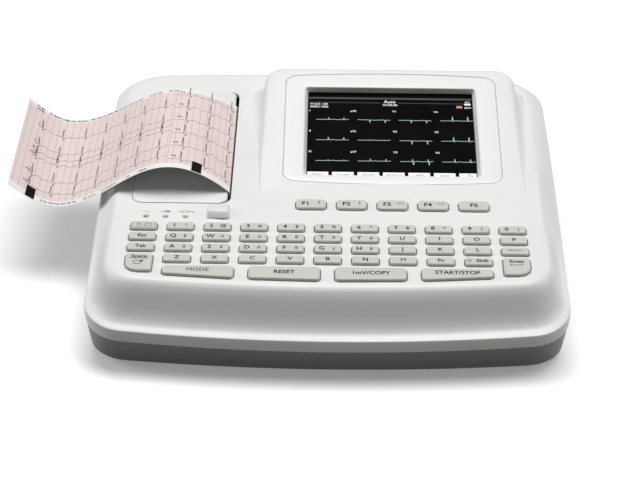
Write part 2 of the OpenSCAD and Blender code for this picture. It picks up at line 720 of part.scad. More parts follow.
module lcd_bracket() {
  color([0.72, 0.73, 0.75]) on_hump() translate([screen_dx, screen_y, 0]) difference() {
    union() {
      plate(lcd_w, lcd_h, 2, bracket_low, bracket_low + bracket_t);
      for (side = [-1, 1]) for (y = ear_y) {
        span([min(side * (lcd_w / 2 - 4), side * ear_x), y - ear_r, bracket_low],
          [max(side * (lcd_w / 2 - 4), side * ear_x), y + ear_r, bracket_low + bracket_t]);
        rod_z(side * ear_x, y, ear_r, bracket_low, bracket_low + bracket_t);
      }
    }
    plate(lcd_w - 40, lcd_h - 36, 6, bracket_low - 1, bracket_low + bracket_t + 1);
    for (side = [-1, 1]) for (y = ear_y) rod_z(side * ear_x, y, screw_bore, bracket_low - 1, bracket_low + 3);
  }
}

// ---- Paper door ----
arm_t = 3;
arm_w = 8;
arm_y0 = door_front + 2.4;
arm_y1 = gear_y0 + gear_t + 2;
shaft_y0 = arm_y0 - 0.7;
shaft_y1 = arm_y1 + arm_t + 0.5;
ear_ring_r = 1.3;
skin_gap = 0.25;
striker_y = door_front + 0.1;
striker_z = hook_z - latch_plate_t - run_gap;
module paper_door() {
  mid = [-door_left + door_w / 2, door_front + door_l / 2, 0];
  under = door_rise - door_t;
  color([0.94, 0.94, 0.93]) on_deck() difference() {
    union() {
      difference() {
        translate(mid) plate(door_w, door_l, door_r, under, door_rise);
        // The slot edge is rolled over so that the paper slides round it
        difference() {
          span([door_right - roll_edge, door_front - 1, door_rise - roll_edge],
            [door_right + 1, door_front + door_l + 1, door_rise + 1]);
          rod_y(door_right - roll_edge, door_rise - roll_edge, roll_edge,
            door_front - 2, door_front + door_l + 2, 32);
        }
      }
      rod_y(hinge_x, hinge_z, knuckle_r, door_front + 1.5, door_front + door_l - 1.5);
      for (y = [arm_y0, arm_y1]) {
        span([platen_x - arm_w / 2, y, platen_z], [platen_x + arm_w / 2, y + arm_t, under + eps]);
        rod_y(platen_x, platen_z, arm_w / 2, y, y + arm_t);
      }
      span([platen_x - striker_left, striker_y, striker_z - striker_t],
        [platen_x + striker_right, arm_y0 + 1, striker_z]);
      span([platen_x - striker_left, arm_y0 - 0.5, striker_z - striker_t],
        [platen_x + striker_right, arm_y0 + 1, under + eps]);
      for (x = [hinge_x + 10, hinge_x + 27]) for (y = [cheek_y0 + 10, cheek_y1 - 11.2])
        span([x, y, under - 1.2], [x + 12, y + 1.2, under + eps]);
    }
    for (y = [arm_y0, arm_y1]) rod_y(platen_x, platen_z, platen_shaft_r + fit, y - 1, y + arm_t + 1);
    rod_y(hinge_x, hinge_z, hinge_rod_r + fit, door_front - 1, door_front + door_l + 1);
    // Pockets under the hinge edge for the two ears that carry the rod
    for (y = [cheek_y0 - cheek_t, cheek_y1])
      span([hinge_x - door_r - 1, y - run_gap, hinge_z - 3],
        [hinge_x + knuckle_r + 0.4, y + cheek_t + run_gap, hinge_z + ear_ring_r + skin_gap]);
  }
}
striker_left = 6;
striker_right = 1.7;
striker_t = 1.6;
roll_edge = 1.6;
module door_hinge_rod() {
  color("silver") on_deck()
    rod_y(hinge_x, hinge_z, hinge_rod_r, cheek_y0 - cheek_t - 1.5, cheek_y1 + cheek_t + 1.5);
}
module platen_roller() {
  color([0.12, 0.12, 0.12]) on_deck() difference() {
    rod_y(platen_x, platen_z, platen_r, paper_y0 - 1, paper_y1 + 1, 72);
    rod_y(platen_x, platen_z, platen_shaft_r + snug, paper_y0 - 2, paper_y1 + 2);
  }
}
module platen_shaft() {
  color("silver") on_deck() rod_y(platen_x, platen_z, platen_shaft_r, shaft_y0, shaft_y1);
}

// Gear with straight-flanked teeth, axis along Y, first tooth at angle a0
backlash = 0.12;
function gear_points(teeth, a0) =
  let (
    pitch_r = gear_module * teeth / 2,
    tip = pitch_r + 0.9 * gear_module,
    root = pitch_r - 1.2 * gear_module,
    step = 360 / teeth,
    half = 90 / teeth - backlash / pitch_r * 28.65,
    at_tip = half * 0.42,
    at_root = half + 0.62 * gear_module * 57.3 / pitch_r * 0.5
  )
  [for (t = [0:teeth - 1]) for (p = [[root, -at_root], [pitch_r, -half], [tip, -at_tip], [tip, at_tip],
        [pitch_r, half], [root, at_root]])
      let (a = a0 + t * step + p[1]) [p[0] * cos(a), p[0] * sin(a)]];
module gear(x, z, teeth, a0, y0, y1, bore) {
  translate([x, y1, z]) rotate([90, 0, 0]) difference() {
    linear_extrude(y1 - y0) polygon(gear_points(teeth, a0));
    if (bore > 0) translate([0, 0, -1]) cylinder(h = y1 - y0 + 2, r = bore, $fn = 40);
  }
}
module platen_gear() {
  color([0.85, 0.82, 0.72]) on_deck()
    gear(platen_x, platen_z, platen_teeth, -90, gear_y0, gear_y0 + gear_t, platen_shaft_r + snug);
}
idler_pin_r = 2;
idler_hub_r = 4.5;
idler_a0 = 90 + 180 / idler_teeth;
module idler_gear() {
  pitch_r = gear_module * idler_teeth / 2;
  color([0.88, 0.86, 0.78]) on_deck() difference() {
    union() {
      gear(platen_x, idler_z, idler_teeth, idler_a0,
        gear_y0 + 0.5, gear_y0 + gear_t - 0.5, idler_pin_r + fit);
      difference() {
        rod_y(platen_x, idler_z, idler_hub_r, gear_y0 - 0.7, gear_y0 + gear_t + 0.3);
        rod_y(platen_x, idler_z, idler_pin_r + fit, gear_y0 - 1, gear_y0 + gear_t + 1);
      }
    }
    for (a = [0:60:300]) rod_y(platen_x + 0.62 * pitch_r * cos(a), idler_z + 0.62 * pitch_r * sin(a), 2.2,
      gear_y0 - 1, gear_y0 + gear_t + 1, 28);
  }
}
// The pinion's first tooth lies half a step off the idler's tooth on the line between them
pinion_a0 = pinion_angle + 180
  + (((pinion_angle - idler_a0) * idler_teeth / 360) - floor((pinion_angle - idler_a0) * idler_teeth / 360)) * 360 / pinion_teeth
  + 180 / pinion_teeth;
motor_shaft_r = 1;
module motor_pinion() {
  color("gold") on_deck() union() {
    gear(motor_x, motor_z, pinion_teeth, pinion_a0, gear_y0, gear_y0 + gear_t, 0);
    rod_y(motor_x, motor_z, motor_shaft_r, cheek_y1 - 4, gear_y0 + gear_t + 1, 32);
  }
}
module stepper_motor() {
  face = cheek_y1;
  color([0.62, 0.63, 0.65]) on_deck() difference() {
    union() {
      rod_y(motor_x, motor_z, motor_r, face - motor_l, face - 1, 56);
      difference() {
        union() {
          rod_y(motor_x, motor_z, motor_r, face - 1, face, 56);
          for (s = [-1, 1]) translate([motor_x, face, motor_z]) rotate([90, 45, 0])
            translate([s * (motor_r + 1), 0, 0]) cylinder(h = 1, r = 3, $fn = 28);
        }
        for (s = [-1, 1]) translate([motor_x, face + 1, motor_z]) rotate([90, 45, 0])
          translate([s * (motor_r + 1), 0, 0]) cylinder(h = 3, r = 1.3, $fn = 24);
      }
      rod_y(motor_x, motor_z, 4, face - 1, face + 1.5, 36);
      span([motor_x - 4, face - motor_l + 3, motor_z - motor_r - 2],
        [motor_x + 4, face - motor_l + 11, motor_z - motor_r + 1.5]);
    }
    rod_y(motor_x, motor_z, motor_shaft_r + fit, face - 4.3, face + 3, 32);
  }
}
// Printer frame: two cheeks, the trough under the roll and the bridge that carries the print head
frame_left = -door_left - 6;
frame_right = -40;
frame_low = roll_z - well_r - well_wall;
seat_z = -cover_wall;
spindle_end_r = 3;
head_gap = 1.1;
head_x = platen_x + platen_r + head_gap;
head_t = 1.2;
head_h = 11;
sink_t = 4;
bridge_x = head_x + head_t + sink_t + 4;
bridge_t = 3;
swing_r = sqrt(door_r ^ 2 + (door_rise - hinge_z) ^ 2) + 0.4;
module cheek_profile() {
  polygon([[frame_left, seat_z], [hinge_x - swing_r - 0.5, seat_z],
    [hinge_x - swing_r - 0.5, hinge_z - swing_r], [hinge_x - ear_ring_r, hinge_z - swing_r],
    [hinge_x - ear_ring_r, hinge_z], [hinge_x + ear_ring_r, hinge_z],
    [hinge_x + ear_ring_r, cheek_top], [opening_right + 1, cheek_top],
    [opening_right + 1, seat_z], [frame_right, seat_z], [frame_right, motor_z - motor_r - 4],
    [roll_x + 20, frame_low], [roll_x - 20, frame_low], [frame_left, roll_z - 8]]);
}
cheek_top = -3.4;
module cheek(y) {
  translate([0, y + cheek_t, 0]) rotate([90, 0, 0]) linear_extrude(cheek_t) cheek_profile();
  rod_y(hinge_x, hinge_z, ear_ring_r, y, y + cheek_t);
}
module printer_frame() {
  inner0 = cheek_y0 - eps;
  inner1 = cheek_y1 + eps;
  slot_half = platen_shaft_r + 0.8;
  color([0.30, 0.31, 0.33]) on_deck() difference() {
    union() {
      cheek(cheek_y0 - cheek_t);
      cheek(cheek_y1);
      // Trough
      difference() {
        rod_y(roll_x, roll_z, well_r + well_wall, inner0, inner1, 72);
        rod_y(roll_x, roll_z, well_r, inner0 - 1, inner1 + 1, 72);
        span([roll_x - 40, inner0 - 1, roll_z - 4], [roll_x + 40, inner1 + 1, roll_z + 40]);
      }
      // Bridge behind the print head
      span([bridge_x, inner0, -20], [bridge_x + bridge_t, inner1, -cover_wall - 1.5]);
      // Pin of the idler gear
      rod_y(platen_x, idler_z, idler_pin_r, cheek_y1, gear_y0 + gear_t + 1);
    }
    for (y = [cheek_y0 - cheek_t - 1, cheek_y1 - 1]) {
      span([platen_x - slot_half, y, platen_z], [platen_x + slot_half, y + cheek_t + 2, 1]);
      rod_y(platen_x, platen_z, slot_half, y, y + cheek_t + 2);
      span([roll_x - spindle_end_r - 0.3, y, roll_z], [roll_x + spindle_end_r + 0.3, y + cheek_t + 2, 1]);
      rod_y(roll_x, roll_z, spindle_end_r + fit, y, y + cheek_t + 2);
      rod_y(hinge_x, hinge_z, hinge_rod_r + snug, y, y + cheek_t + 2);
    }
    rod_y(motor_x, motor_z, 4 + fit, cheek_y1 - 1, cheek_y1 + cheek_t + 1);
    for (s = [-1, 1]) translate([motor_x, cheek_y1 + cheek_t + 1, motor_z]) rotate([90, 45, 0])
      translate([s * (motor_r + 1), 0, 0]) cylinder(h = cheek_t + 2, r = 1.3, $fn = 24);
  }
}
module print_head() {
  color([0.25, 0.20, 0.18]) on_deck() union() {
    span([head_x + 0.2, paper_y0 - 1, platen_z - head_h / 2],
      [head_x + head_t, paper_y1 + 1, platen_z + 3.6]);
    // Heating line
    rod_y(head_x + 0.6, platen_z, 0.6, paper_y0, paper_y1, 28);
  }
}
sink_low = platen_z - head_h / 2 - 2;
sink_high = platen_z + 3.8;
module head_heatsink() {
  x0 = head_x + head_t;
  color([0.75, 0.76, 0.78]) on_deck() difference() {
    span([x0, paper_y0 - 2, sink_low], [x0 + sink_t, paper_y1 + 2, sink_high]);
    for (z = [sink_low + 2.2, sink_low + 5.2, sink_low + 8.2])
      span([x0 + 1.6, paper_y0 - 3, z], [x0 + sink_t + 1, paper_y1 + 3, z + 1.5]);
  }
}
head_spring_at = [paper_y0 + 25, paper_y1 - 25];
module head_springs() {
  x0 = head_x + head_t + sink_t;
  color("silver") on_deck() for (y = head_spring_at) translate([x0 + 0.05, y, platen_z]) rotate([0, 0, -90])
    coil(bridge_x - x0 - 0.1, 2.6, 0.4, 3);
}
module paper_roll() {
  color([0.93, 0.86, 0.84]) on_deck() difference() {
    rod_y(roll_x, roll_z, roll_r, paper_y0, paper_y1, 72);
    rod_y(roll_x, roll_z, core_r + snug, paper_y0 - 1, paper_y1 + 1);
  }
}
spindle_flange = 1.5;
module paper_spindle() {
  color([0.25, 0.25, 0.27]) on_deck() union() {
    rod_y(roll_x, roll_z, core_r, paper_y0, paper_y1);
    for (y = [cheek_y0 + 0.4, paper_y1]) rod_y(roll_x, roll_z, core_r + 3, y, y + cheek_gap - 0.4);
    rod_y(roll_x, roll_z, spindle_end_r, cheek_y0 - cheek_t - 1, cheek_y1 + cheek_t + 0.4);
  }
}

// ---- Chart paper ----
wrap_r = platen_r + paper_gap;
reach = sqrt(25.5 ^ 2 + 20.5 ^ 2);
slant = atan2(20.5, 25.5);
cross = acos((roll_r + paper_gap + wrap_r) / reach);
leave_angle = slant + cross;
wrap_start = leave_angle - 180;
// Web from the roll to the platen, along the tangent of both
module paper_web() {
  a = [roll_x, roll_z] + (roll_r + paper_gap) * [cos(leave_angle), sin(leave_angle)];
  b = [platen_x, platen_z] + wrap_r * [cos(wrap_start), sin(wrap_start)];
  out = [cos(leave_angle), sin(leave_angle)] * paper_t;
  u = (b - a) / norm(b - a) * 0.3;
  color([0.95, 0.88, 0.86]) on_deck() translate([0, paper_y1, 0]) rotate([90, 0, 0]) linear_extrude(paper_w)
    polygon([a + u, b - u, b - u + out, a + u + out]);
}
crest_x = -106;
dip_x = -183;
dip_z = -13;
tip_x = -214.5;
tip_z = 5.4;
exit_x = platen_x + wrap_r;
// Height of the strip over the deck at x, for a crest of height c
function strip_z(x, c) =
  x > crest_x ? c * sin(90 * (exit_x - x) / (exit_x - crest_x)) ^ 0.85
  : x > dip_x ? (c + dip_z) / 2 + (c - dip_z) / 2 * cos(180 * (crest_x - x) / (crest_x - dip_x))
  : dip_z + (tip_z - dip_z) * (1 - cos(90 * (dip_x - x) / (dip_x - tip_x)));
wrap_steps = 8;
rise_steps = 12;
fall_steps = 16;
end_steps = 8;
// Side view of the strip's lower face, from the platen to its free end
function strip_path(c) = concat(
  [for (i = [0:wrap_steps]) let (a = wrap_start * (1 - i / wrap_steps))
      [platen_x + wrap_r * cos(a), platen_z + wrap_r * sin(a)]],
  [for (i = [0:rise_steps]) let (x = exit_x + (crest_x - exit_x) * (i / rise_steps) ^ 1.6)
      [x, i == 0 ? -1 : strip_z(x, c)]],
  [for (i = [1:fall_steps]) let (x = crest_x + (dip_x - crest_x) * i / fall_steps) [x, strip_z(x, c)]],
  [for (i = [1:end_steps]) let (x = dip_x + (tip_x - dip_x) * i / end_steps) [x, strip_z(x, c)]]);
function left_normal(path, i) =
  let (
    a = path[max(i - 1, 0)],
    b = path[min(i + 1, len(path) - 1)],
    d = (b - a) / norm(b - a)
  )
  [d.y, -d.x];
module chart_paper() {
  sides = [[paper_y0, strip_path(crest_front)], [paper_y1, strip_path(crest_rear)]];
  n = len(sides[0][1]);
  points = [for (s = sides) for (i = [0:n - 1]) for (t = [0, paper_t])
      let (p = s[1][i] + left_normal(s[1], i) * t) [p.x, s[0], p.y]];
  // Corner k of station i: front inner, front outer, rear inner, rear outer
  at = function (i, k) (k < 2 ? 0 : 2 * n) + 2 * i + k % 2;
  color([0.95, 0.88, 0.86]) on_deck() polyhedron(points, concat(
    [for (i = [0:n - 2]) for (e = [[0, 1], [1, 3], [3, 2], [2, 0]]) for (face = [
        [at(i, e[0]), at(i + 1, e[0]), at(i + 1, e[1])],
        [at(i, e[0]), at(i + 1, e[1]), at(i, e[1])]]) face],
    [[at(0, 0), at(0, 1), at(0, 3)], [at(0, 0), at(0, 3), at(0, 2)]],
    [[at(n - 1, 0), at(n - 1, 3), at(n - 1, 1)], [at(n - 1, 0), at(n - 1, 2), at(n - 1, 3)]]));
}

// ---- Keypad mat, key board, lights ----
module keypad_mat() {
  color([0.78, 0.78, 0.75]) on_deck() difference() {
    union() {
      translate([0, 0, mat_low]) linear_extrude(mat_t) board_outline(mat_in);
      for (k = all_keys) translate([(k[0] + k[1]) / 2, (k[2] + (k[3] + k[4]) / 2) / 2, mat_top - eps])
        cylinder(h = dome_top - mat_top, r1 = dome_r, r2 = dome_tip_r, $fn = 20);
    }
    for (p = concat(boss_at, fboss_at)) rod_z(p.x, p.y, boss_r + run_gap, mat_low - 1, mat_top + 1, 24);
  }
}
module key_board() {
  color([0.10, 0.35, 0.18]) on_deck() difference() {
    union() {
      translate([0, 0, board_low]) linear_extrude(board_t) union() {
        board_outline(0);
        translate([led_x[0] - 6, 0]) square([led_x[2] - led_x[0] + 12, led_y + 4.5]);
      }
      span([-30, -50, board_low - 3], [10, -44, board_low + eps]);
      span([60, -32, board_low - 1.4], [72, -20, board_low + eps]);
    }
    for (p = concat(boss_at, fboss_at)) rod_z(p.x, p.y, 1.1, board_low - 4, board_low + 3, 24);
  }
}
module status_leds() {
  color([0.75, 0.85, 0.7]) on_deck() for (x = led_x) {
    rod_z(x, led_y, led_r, mat_low, 0);
    intersection() {
      translate([x, led_y, -led_r * 0.4]) sphere(r = led_r * 1.08, $fn = 32);
      rod_z(x, led_y, led_r, -0.5, 2);
    }
  }
}

// ---- Bottom tray ----
tray_floor = foot_h + tray_wall;
function tray_outline(share, extra) =
  let (
    s = tray_in_side * share + part_gap * 2 * (1 - share) + extra,
    f = tray_in_front * share + part_gap * 2 * (1 - share) + extra
  )
  whole_outline(half_outline(s, f, s, front_corner_r - s * 0.3 - extra * 0.6, rear_corner_r - s));
module tray_outer() {
  loft([
    at_z(tray_outline(1, tray_edge_r), foot_h),
    at_z(tray_outline(1, tray_edge_r * (1 - sin(30))), foot_h + tray_edge_r * (1 - cos(30))),
    at_z(tray_outline(1, tray_edge_r * (1 - sin(60))), foot_h + tray_edge_r * (1 - cos(60))),
    at_z(tray_outline(1, 0), foot_h + tray_edge_r),
    [for (p = tray_outline(0, 0)) [p.x, p.y, part_z(p.y) - part_gap]]]);
}
module tray_inner() {
  loft([
    at_z(tray_outline(1, tray_edge_r + tray_wall), tray_floor),
    at_z(tray_outline(1, tray_wall), tray_floor + tray_edge_r),
    [for (p = tray_outline(0, tray_wall)) [p.x, p.y, part_z(p.y) + 5]]]);
}
tray_post_r = 4;
screw_head_r = 2.8;
post_thick = 6;
foot_at = [for (side = [-1, 1]) for (y = [37 - body_d / 2, body_d / 2 - 33]) [side * (body_w / 2 - 33), y]];
foot_recess = 1.2;

// Battery bay under the front of the tray
battery = [108, 52, 20];
battery_mid = [0, 61 - body_d / 2];
battery_play = 0.8;
bay_wall = 2;
lid_t = 2;
lid_gap = 0.3;
lid_margin = 8;
lid_screw_r = 1.25;
lid_head_r = 2.4;
lid_head_t = 1.1;
lid_screw_l = 7;
lid_screw_at = [for (side = [-1, 1]) [battery_mid.x + side * (battery.x / 2 + 4.6), battery_mid.y]];
battery_z0 = foot_h + lid_t + 0.2;
bay_top = battery_z0 + battery.z + battery_play;

// Connector bay in the right wall and mains bay in the rear wall
side_panel_x = body_w / 2 - 5.4;
side_bay_y = [-46, 92];
side_bay_z = [9.5, 35.5];
rear_panel_y = body_d / 2 - 11.5;
rear_bay_x = [22, 112];
rear_bay_z = [10, 48];
panel_t = 2.4;
socket_z = 22;
patient_y = -20;
serial_y = 24;
network_y = 54;
usb_y = 78;
inlet_x = 48;
inlet_z = 29;
switch_x = 83;
earth_x = 103;
speaker_at = [51 - body_w / 2, 57 - body_d / 2];
speaker_r = 18;

module bottom_tray() {
  color([0.27, 0.27, 0.28]) difference() {
    union() {
      difference() {
        tray_outer();
        tray_inner();
      }
      for (p = post_at) rod_z(p.x, p.y, tray_post_r, tray_floor - 1, part_z(p.y) - part_gap);
      for (p = foot_at) rod_z(p.x, p.y, foot_r + 2, tray_floor - 1, tray_floor + 0.8);
      // Walls and roof of the battery bay
      translate([battery_mid.x, battery_mid.y, 0])
        plate(battery.x + 2 * (battery_play + bay_wall), battery.y + 2 * (battery_play + bay_wall), 3,
          tray_floor - 1, bay_top + bay_wall, 3);
      // Ledge round the battery cover, with bosses for its two screws
      translate([battery_mid.x, battery_mid.y, 0])
        plate(battery.x + 2 * lid_margin + 4, battery.y + 2 * lid_margin + 4, 5, tray_floor - 1,
          tray_floor + 2, 3);
      for (p = lid_screw_at) rod_z(p.x, p.y, 3, tray_floor, foot_h + lid_screw_l + 2);
      for (p = board_post_at) rod_z(p.x, p.y, 3, tray_floor - 1, main_board_z);
      for (p = psu_post_at) rod_z(p.x, p.y, 3, tray_floor - 1, psu_z);
      difference() {
        rod_z(speaker_at.x, speaker_at.y, speaker_r + 2, tray_floor - 1, tray_floor + 4, 56);
        rod_z(speaker_at.x, speaker_at.y, speaker_r + 0.2, tray_floor, tray_floor + 5, 56);
      }
      // Boxes round the two connector bays, out to the wall
      intersection() {
        union() {
          span([side_panel_x - panel_t, side_bay_y[0] - 3, side_bay_z[0] - 3],
            [body_w, side_bay_y[1] + 3, side_bay_z[1] + 3]);
          span([rear_bay_x[0] - 3, rear_panel_y - panel_t, rear_bay_z[0] - 3],
            [rear_bay_x[1] + 3, body_d, rear_bay_z[1] + 3]);
        }
        tray_outer();
      }
    }
    for (p = post_at) {
      rod_z(p.x, p.y, screw_bore + 0.15, 0, 90, 24);
      rod_z(p.x, p.y, screw_head_r + 0.2, 0, part_z(p.y) - part_gap - post_thick, 28);
    }
    for (p = foot_at) rod_z(p.x, p.y, foot_r + 0.1, 0, foot_h + foot_recess, 40);
    for (p = lid_screw_at) rod_z(p.x, p.y, lid_screw_r + fit, foot_h, foot_h + lid_screw_l + 0.5, 24);
    translate([battery_mid.x, battery_mid.y, 0]) {
      plate(battery.x + 2 * battery_play, battery.y + 2 * battery_play, 2, 0, bay_top, 3);
      plate(battery.x + 2 * lid_margin + 2 * lid_gap, battery.y + 2 * lid_margin + 2 * lid_gap, 4, 0,
        foot_h + lid_t, 4);
    }
    span([side_panel_x, side_bay_y[0], side_bay_z[0]], [body_w / 2 + 5, side_bay_y[1], side_bay_z[1]]);
    span([rear_bay_x[0], rear_panel_y, rear_bay_z[0]], [rear_bay_x[1], body_d / 2 + 5, rear_bay_z[1]]);
    side_panel_cuts();
    rear_panel_cuts();
    // Sound slots
    for (i = [-4:4]) span([speaker_at.x - 11 + abs(i), speaker_at.y + i * 3 - 0.7, 0],
      [speaker_at.x + 11 - abs(i), speaker_at.y + i * 3 + 0.7, tray_floor + 1]);
    // Cooling slots under the power supply
    for (i = [0:7]) span([-12 + i * 7, 72, 0], [-9 + i * 7, 112, tray_floor + 1]);
  }
}
module side_panel_cuts() {
  x0 = side_panel_x - panel_t - 1;
  x1 = side_panel_x + 1;
  for (s = [[patient_y, 25.6, 9.4], [serial_y, 17.4, 9.4], [network_y, 16.4, 15.4], [usb_y, 15.4, 16.4]])
    span([x0, s[0] - s[1] / 2, socket_z - s[2] / 2], [x1, s[0] + s[1] / 2, socket_z + s[2] / 2]);
  for (s = [[patient_y, patient_jacks], [serial_y, serial_jacks]]) for (side = [-1, 1])
    rod_x(s[0] + side * s[1] / 2, socket_z, nut_bore + 0.2, x0, x1, 24);
}
inlet_w = 27.4;
inlet_h = 20;
module rear_panel_cuts() {
  y0 = rear_panel_y - panel_t - 1;
  y1 = rear_panel_y + 1;
  span([inlet_x - inlet_w / 2, y0, inlet_z - inlet_h / 2],
    [inlet_x + inlet_w / 2, y1, inlet_z + inlet_h / 2]);
  for (side = [-1, 1]) rod_y(inlet_x + side * 20, inlet_z, 1.6, y0, y1, 24);
  span([switch_x - 6.6, y0, inlet_z - 9.8], [switch_x + 6.6, y1, inlet_z + 9.8]);
  rod_y(earth_x, inlet_z, earth_r + 0.1, y0, y1, 32);
}
module feet() {
  color([0.12, 0.12, 0.13]) for (p = foot_at) difference() {
    rod_z(p.x, p.y, foot_r, 0, foot_h + foot_recess, 40);
    rod_z(p.x, p.y, foot_r - 3.5, -1, 0.8, 32);
  }
}
module screw(p, seat, top, r, head_r, head_t) {
  difference() {
    union() {
      rod_z(p.x, p.y, head_r, seat - head_t, seat, 28);
      rod_z(p.x, p.y, r, seat - 0.5, top, 24);
    }
    for (a = [0, 90]) translate([p.x, p.y, seat - head_t]) rotate(a)
      cube([head_r * 1.25, 0.6, head_t], center = true);
  }
}
module case_screws() {
  color([0.70, 0.70, 0.72]) {
    for (p = post_at) screw(p, part_z(p.y) - part_gap - post_thick, part_z(p.y) + screw_grip, screw_r,
      screw_head_r, 2);
    for (p = lid_screw_at)
      screw(p, foot_h + lid_head_t, foot_h + lid_screw_l, lid_screw_r, lid_head_r, lid_head_t);
  }
}
module battery_cover() {
  color([0.27, 0.27, 0.28]) difference() {
    translate([battery_mid.x, battery_mid.y, 0])
      plate(battery.x + 2 * lid_margin, battery.y + 2 * lid_margin, 4, foot_h, foot_h + lid_t, 4);
    for (p = lid_screw_at) {
      rod_z(p.x, p.y, lid_screw_r + 0.1, foot_h - 1, foot_h + 4, 24);
      rod_z(p.x, p.y, lid_head_r + 0.15, foot_h - 1, foot_h + lid_head_t, 28);
    }
    for (i = [-3:3]) span([battery_mid.x + 30 + i * 3.4, battery_mid.y - 9, 0],
      [battery_mid.x + 31.6 + i * 3.4, battery_mid.y + 9, foot_h + 0.7]);
  }
}
module battery_pack() {
  color([0.16, 0.20, 0.30]) translate([battery_mid.x, battery_mid.y, 0]) union() {
    plate(battery.x, battery.y, 3, battery_z0, battery_z0 + battery.z, 3);
  }
}

// ---- Boards and power ----
main_board_z = 13;
psu_z = 13;
psu = [[-30, rear_panel_y - 65.5], [104, rear_panel_y - 19.5]];
battery_bay_rear = battery_mid.y + battery.y / 2 + battery_play + bay_wall;
main_board = [[-22, battery_bay_rear + 13.2], [side_panel_x - 7.6, psu[0].y - 6]];
board_post_at = [for (x = [main_board[0].x + 6, main_board[1].x - 10]) for (end = [0, 1])
  [x - 14 * end * (x > 0 ? 1 : 0), end == 0 ? main_board[0].y + 6 : main_board[1].y - 6]];
// Front edge of a piece of length l at a share s of the free run along the board
function board_y(s, l) = main_board[0].y + s * (main_board[1].y - main_board[0].y - l);
// Box on the main board at x, w wide, l long and h high
module board_box(x, w, s, l, h) {
  span([x, board_y(s, l), main_board_z + board_t - eps],
    [x + w, board_y(s, l) + l, main_board_z + board_t + h]);
}
module main_board() {
  top = main_board_z + board_t;
  color([0.08, 0.32, 0.20]) difference() {
    union() {
      span([main_board[0].x, main_board[0].y, main_board_z], [main_board[1].x, main_board[1].y, top]);
      board_box(20, 24, 0.38, 24, 2.4);
      board_box(56, 14, 0.49, 20, 1.6);
      board_box(56, 14, 0.14, 14, 1.6);
      board_box(-8, 38, 0.71, 12, 7);
      board_box(90, 28, 0.17, 44, 6);
      for (i = [0:3]) rod_z(88 + i * 11, board_y(0.85, 8) + 4, 4, top - eps, top + 11, 28);
      for (i = [0:2]) board_box(-16, 8, 0.22 + 0.15 * i, 10, 6);
    }
    for (p = board_post_at) rod_z(p.x, p.y, 1.6, main_board_z - 1, top + 1, 24);
    rod_z(post_x, 0, tray_post_r + 1, main_board_z - 1, top + 1);
  }
}
psu_post_at = [for (x = [psu[0].x + 6, psu[1].x - 6]) for (y = [psu[0].y + 6, psu[1].y - 6]) [x, y]];
module power_supply() {
  top = psu_z + board_t;
  color([0.62, 0.55, 0.28]) difference() {
    union() {
      span([psu[0].x, psu[0].y, psu_z], [psu[1].x, psu[1].y, top]);
      translate([psu[0].x, psu[0].y, top]) {
        span([54, 8, -eps], [84, 36, 24]);
        for (i = [0:1]) rod_z(26 + i * 19, 16, 7, -eps, 25, 32);
        for (i = [0:2]) rod_z(94 + i * 11, 34, 4.5, -eps, 18, 28);
        span([92, 6, -eps], [122, 9, 22]);
        for (i = [0:4]) span([93 + i * 6.4, 9 - eps, 3], [94.4 + i * 6.4, 15, 22]);
        span([4, 32, -eps], [22, 38, 9]);
      }
    }
    for (p = psu_post_at) rod_z(p.x, p.y, 1.6, psu_z - 1, top + 1, 24);
  }
}
module speaker() {
  color([0.10, 0.10, 0.11]) translate([speaker_at.x, speaker_at.y, tray_floor]) union() {
    cylinder(h = 3, r = speaker_r, $fn = 56);
    translate([0, 0, 3 - eps]) cylinder(h = 3, r1 = speaker_r - 3, r2 = 9, $fn = 48);
    translate([0, 0, 6 - 2 * eps]) cylinder(h = 4, r = 9, $fn = 40);
  }
}

// ---- Sockets ----
// Trapezium outline of a D-shaped shell, width along x
function d_shape(w, h, lean) = [[-w / 2 + lean, -h / 2], [w / 2 - lean, -h / 2], [w / 2, h / 2 - 1.2],
  [w / 2 - 1.2, h / 2], [-w / 2 + 1.2, h / 2], [-w / 2, h / 2 - 1.2]];
module facing_right(y, z) {
  translate([side_panel_x, y, z]) rotate([90, 0, 90]) children();
}
nut_r = 2.6;
nut_bore = 1.3;
patient_jacks = 33.3;
serial_jacks = 25;
module d_socket(w, flange_w, spacing, top_pins, pin_pitch) {
  shell_out = 4.9;
  difference() {
    union() {
      translate([0, 0, 0]) linear_extrude(0.8) polygon(rounded(flange_w, 12.4, 1.5, 4));
      linear_extrude(shell_out) polygon(d_shape(w, 8.3, 1.5));
      translate([0, 0, -11]) linear_extrude(11.5) polygon(d_shape(w, 8.3, 1.5));
      for (side = [-1, 1]) translate([side * spacing / 2, 0, 0.5])
        cylinder(h = shell_out - 0.5, r = nut_r, $fn = 6);
      translate([-w / 2 + 2, -4.8 - (socket_z - main_board_z - board_t - 4.8), -11])
        cube([w - 4, socket_z - main_board_z - board_t - 3, 8]);
    }
    for (side = [-1, 1]) translate([side * spacing / 2, 0, -1])
      cylinder(h = shell_out + 2, r = nut_bore, $fn = 48);
    for (row = [0, 1]) for (i = [0:top_pins - 1 - row])
      translate([(i - (top_pins - 1 - row) / 2) * pin_pitch, 1.42 - 2.84 * row, shell_out - 4])
        cylinder(h = 5, r = 0.65, $fn = 16);
  }
}
module patient_socket() {
  color([0.75, 0.76, 0.78]) facing_right(patient_y, socket_z) d_socket(24.9, 39.2, patient_jacks, 8, 2.77);
}
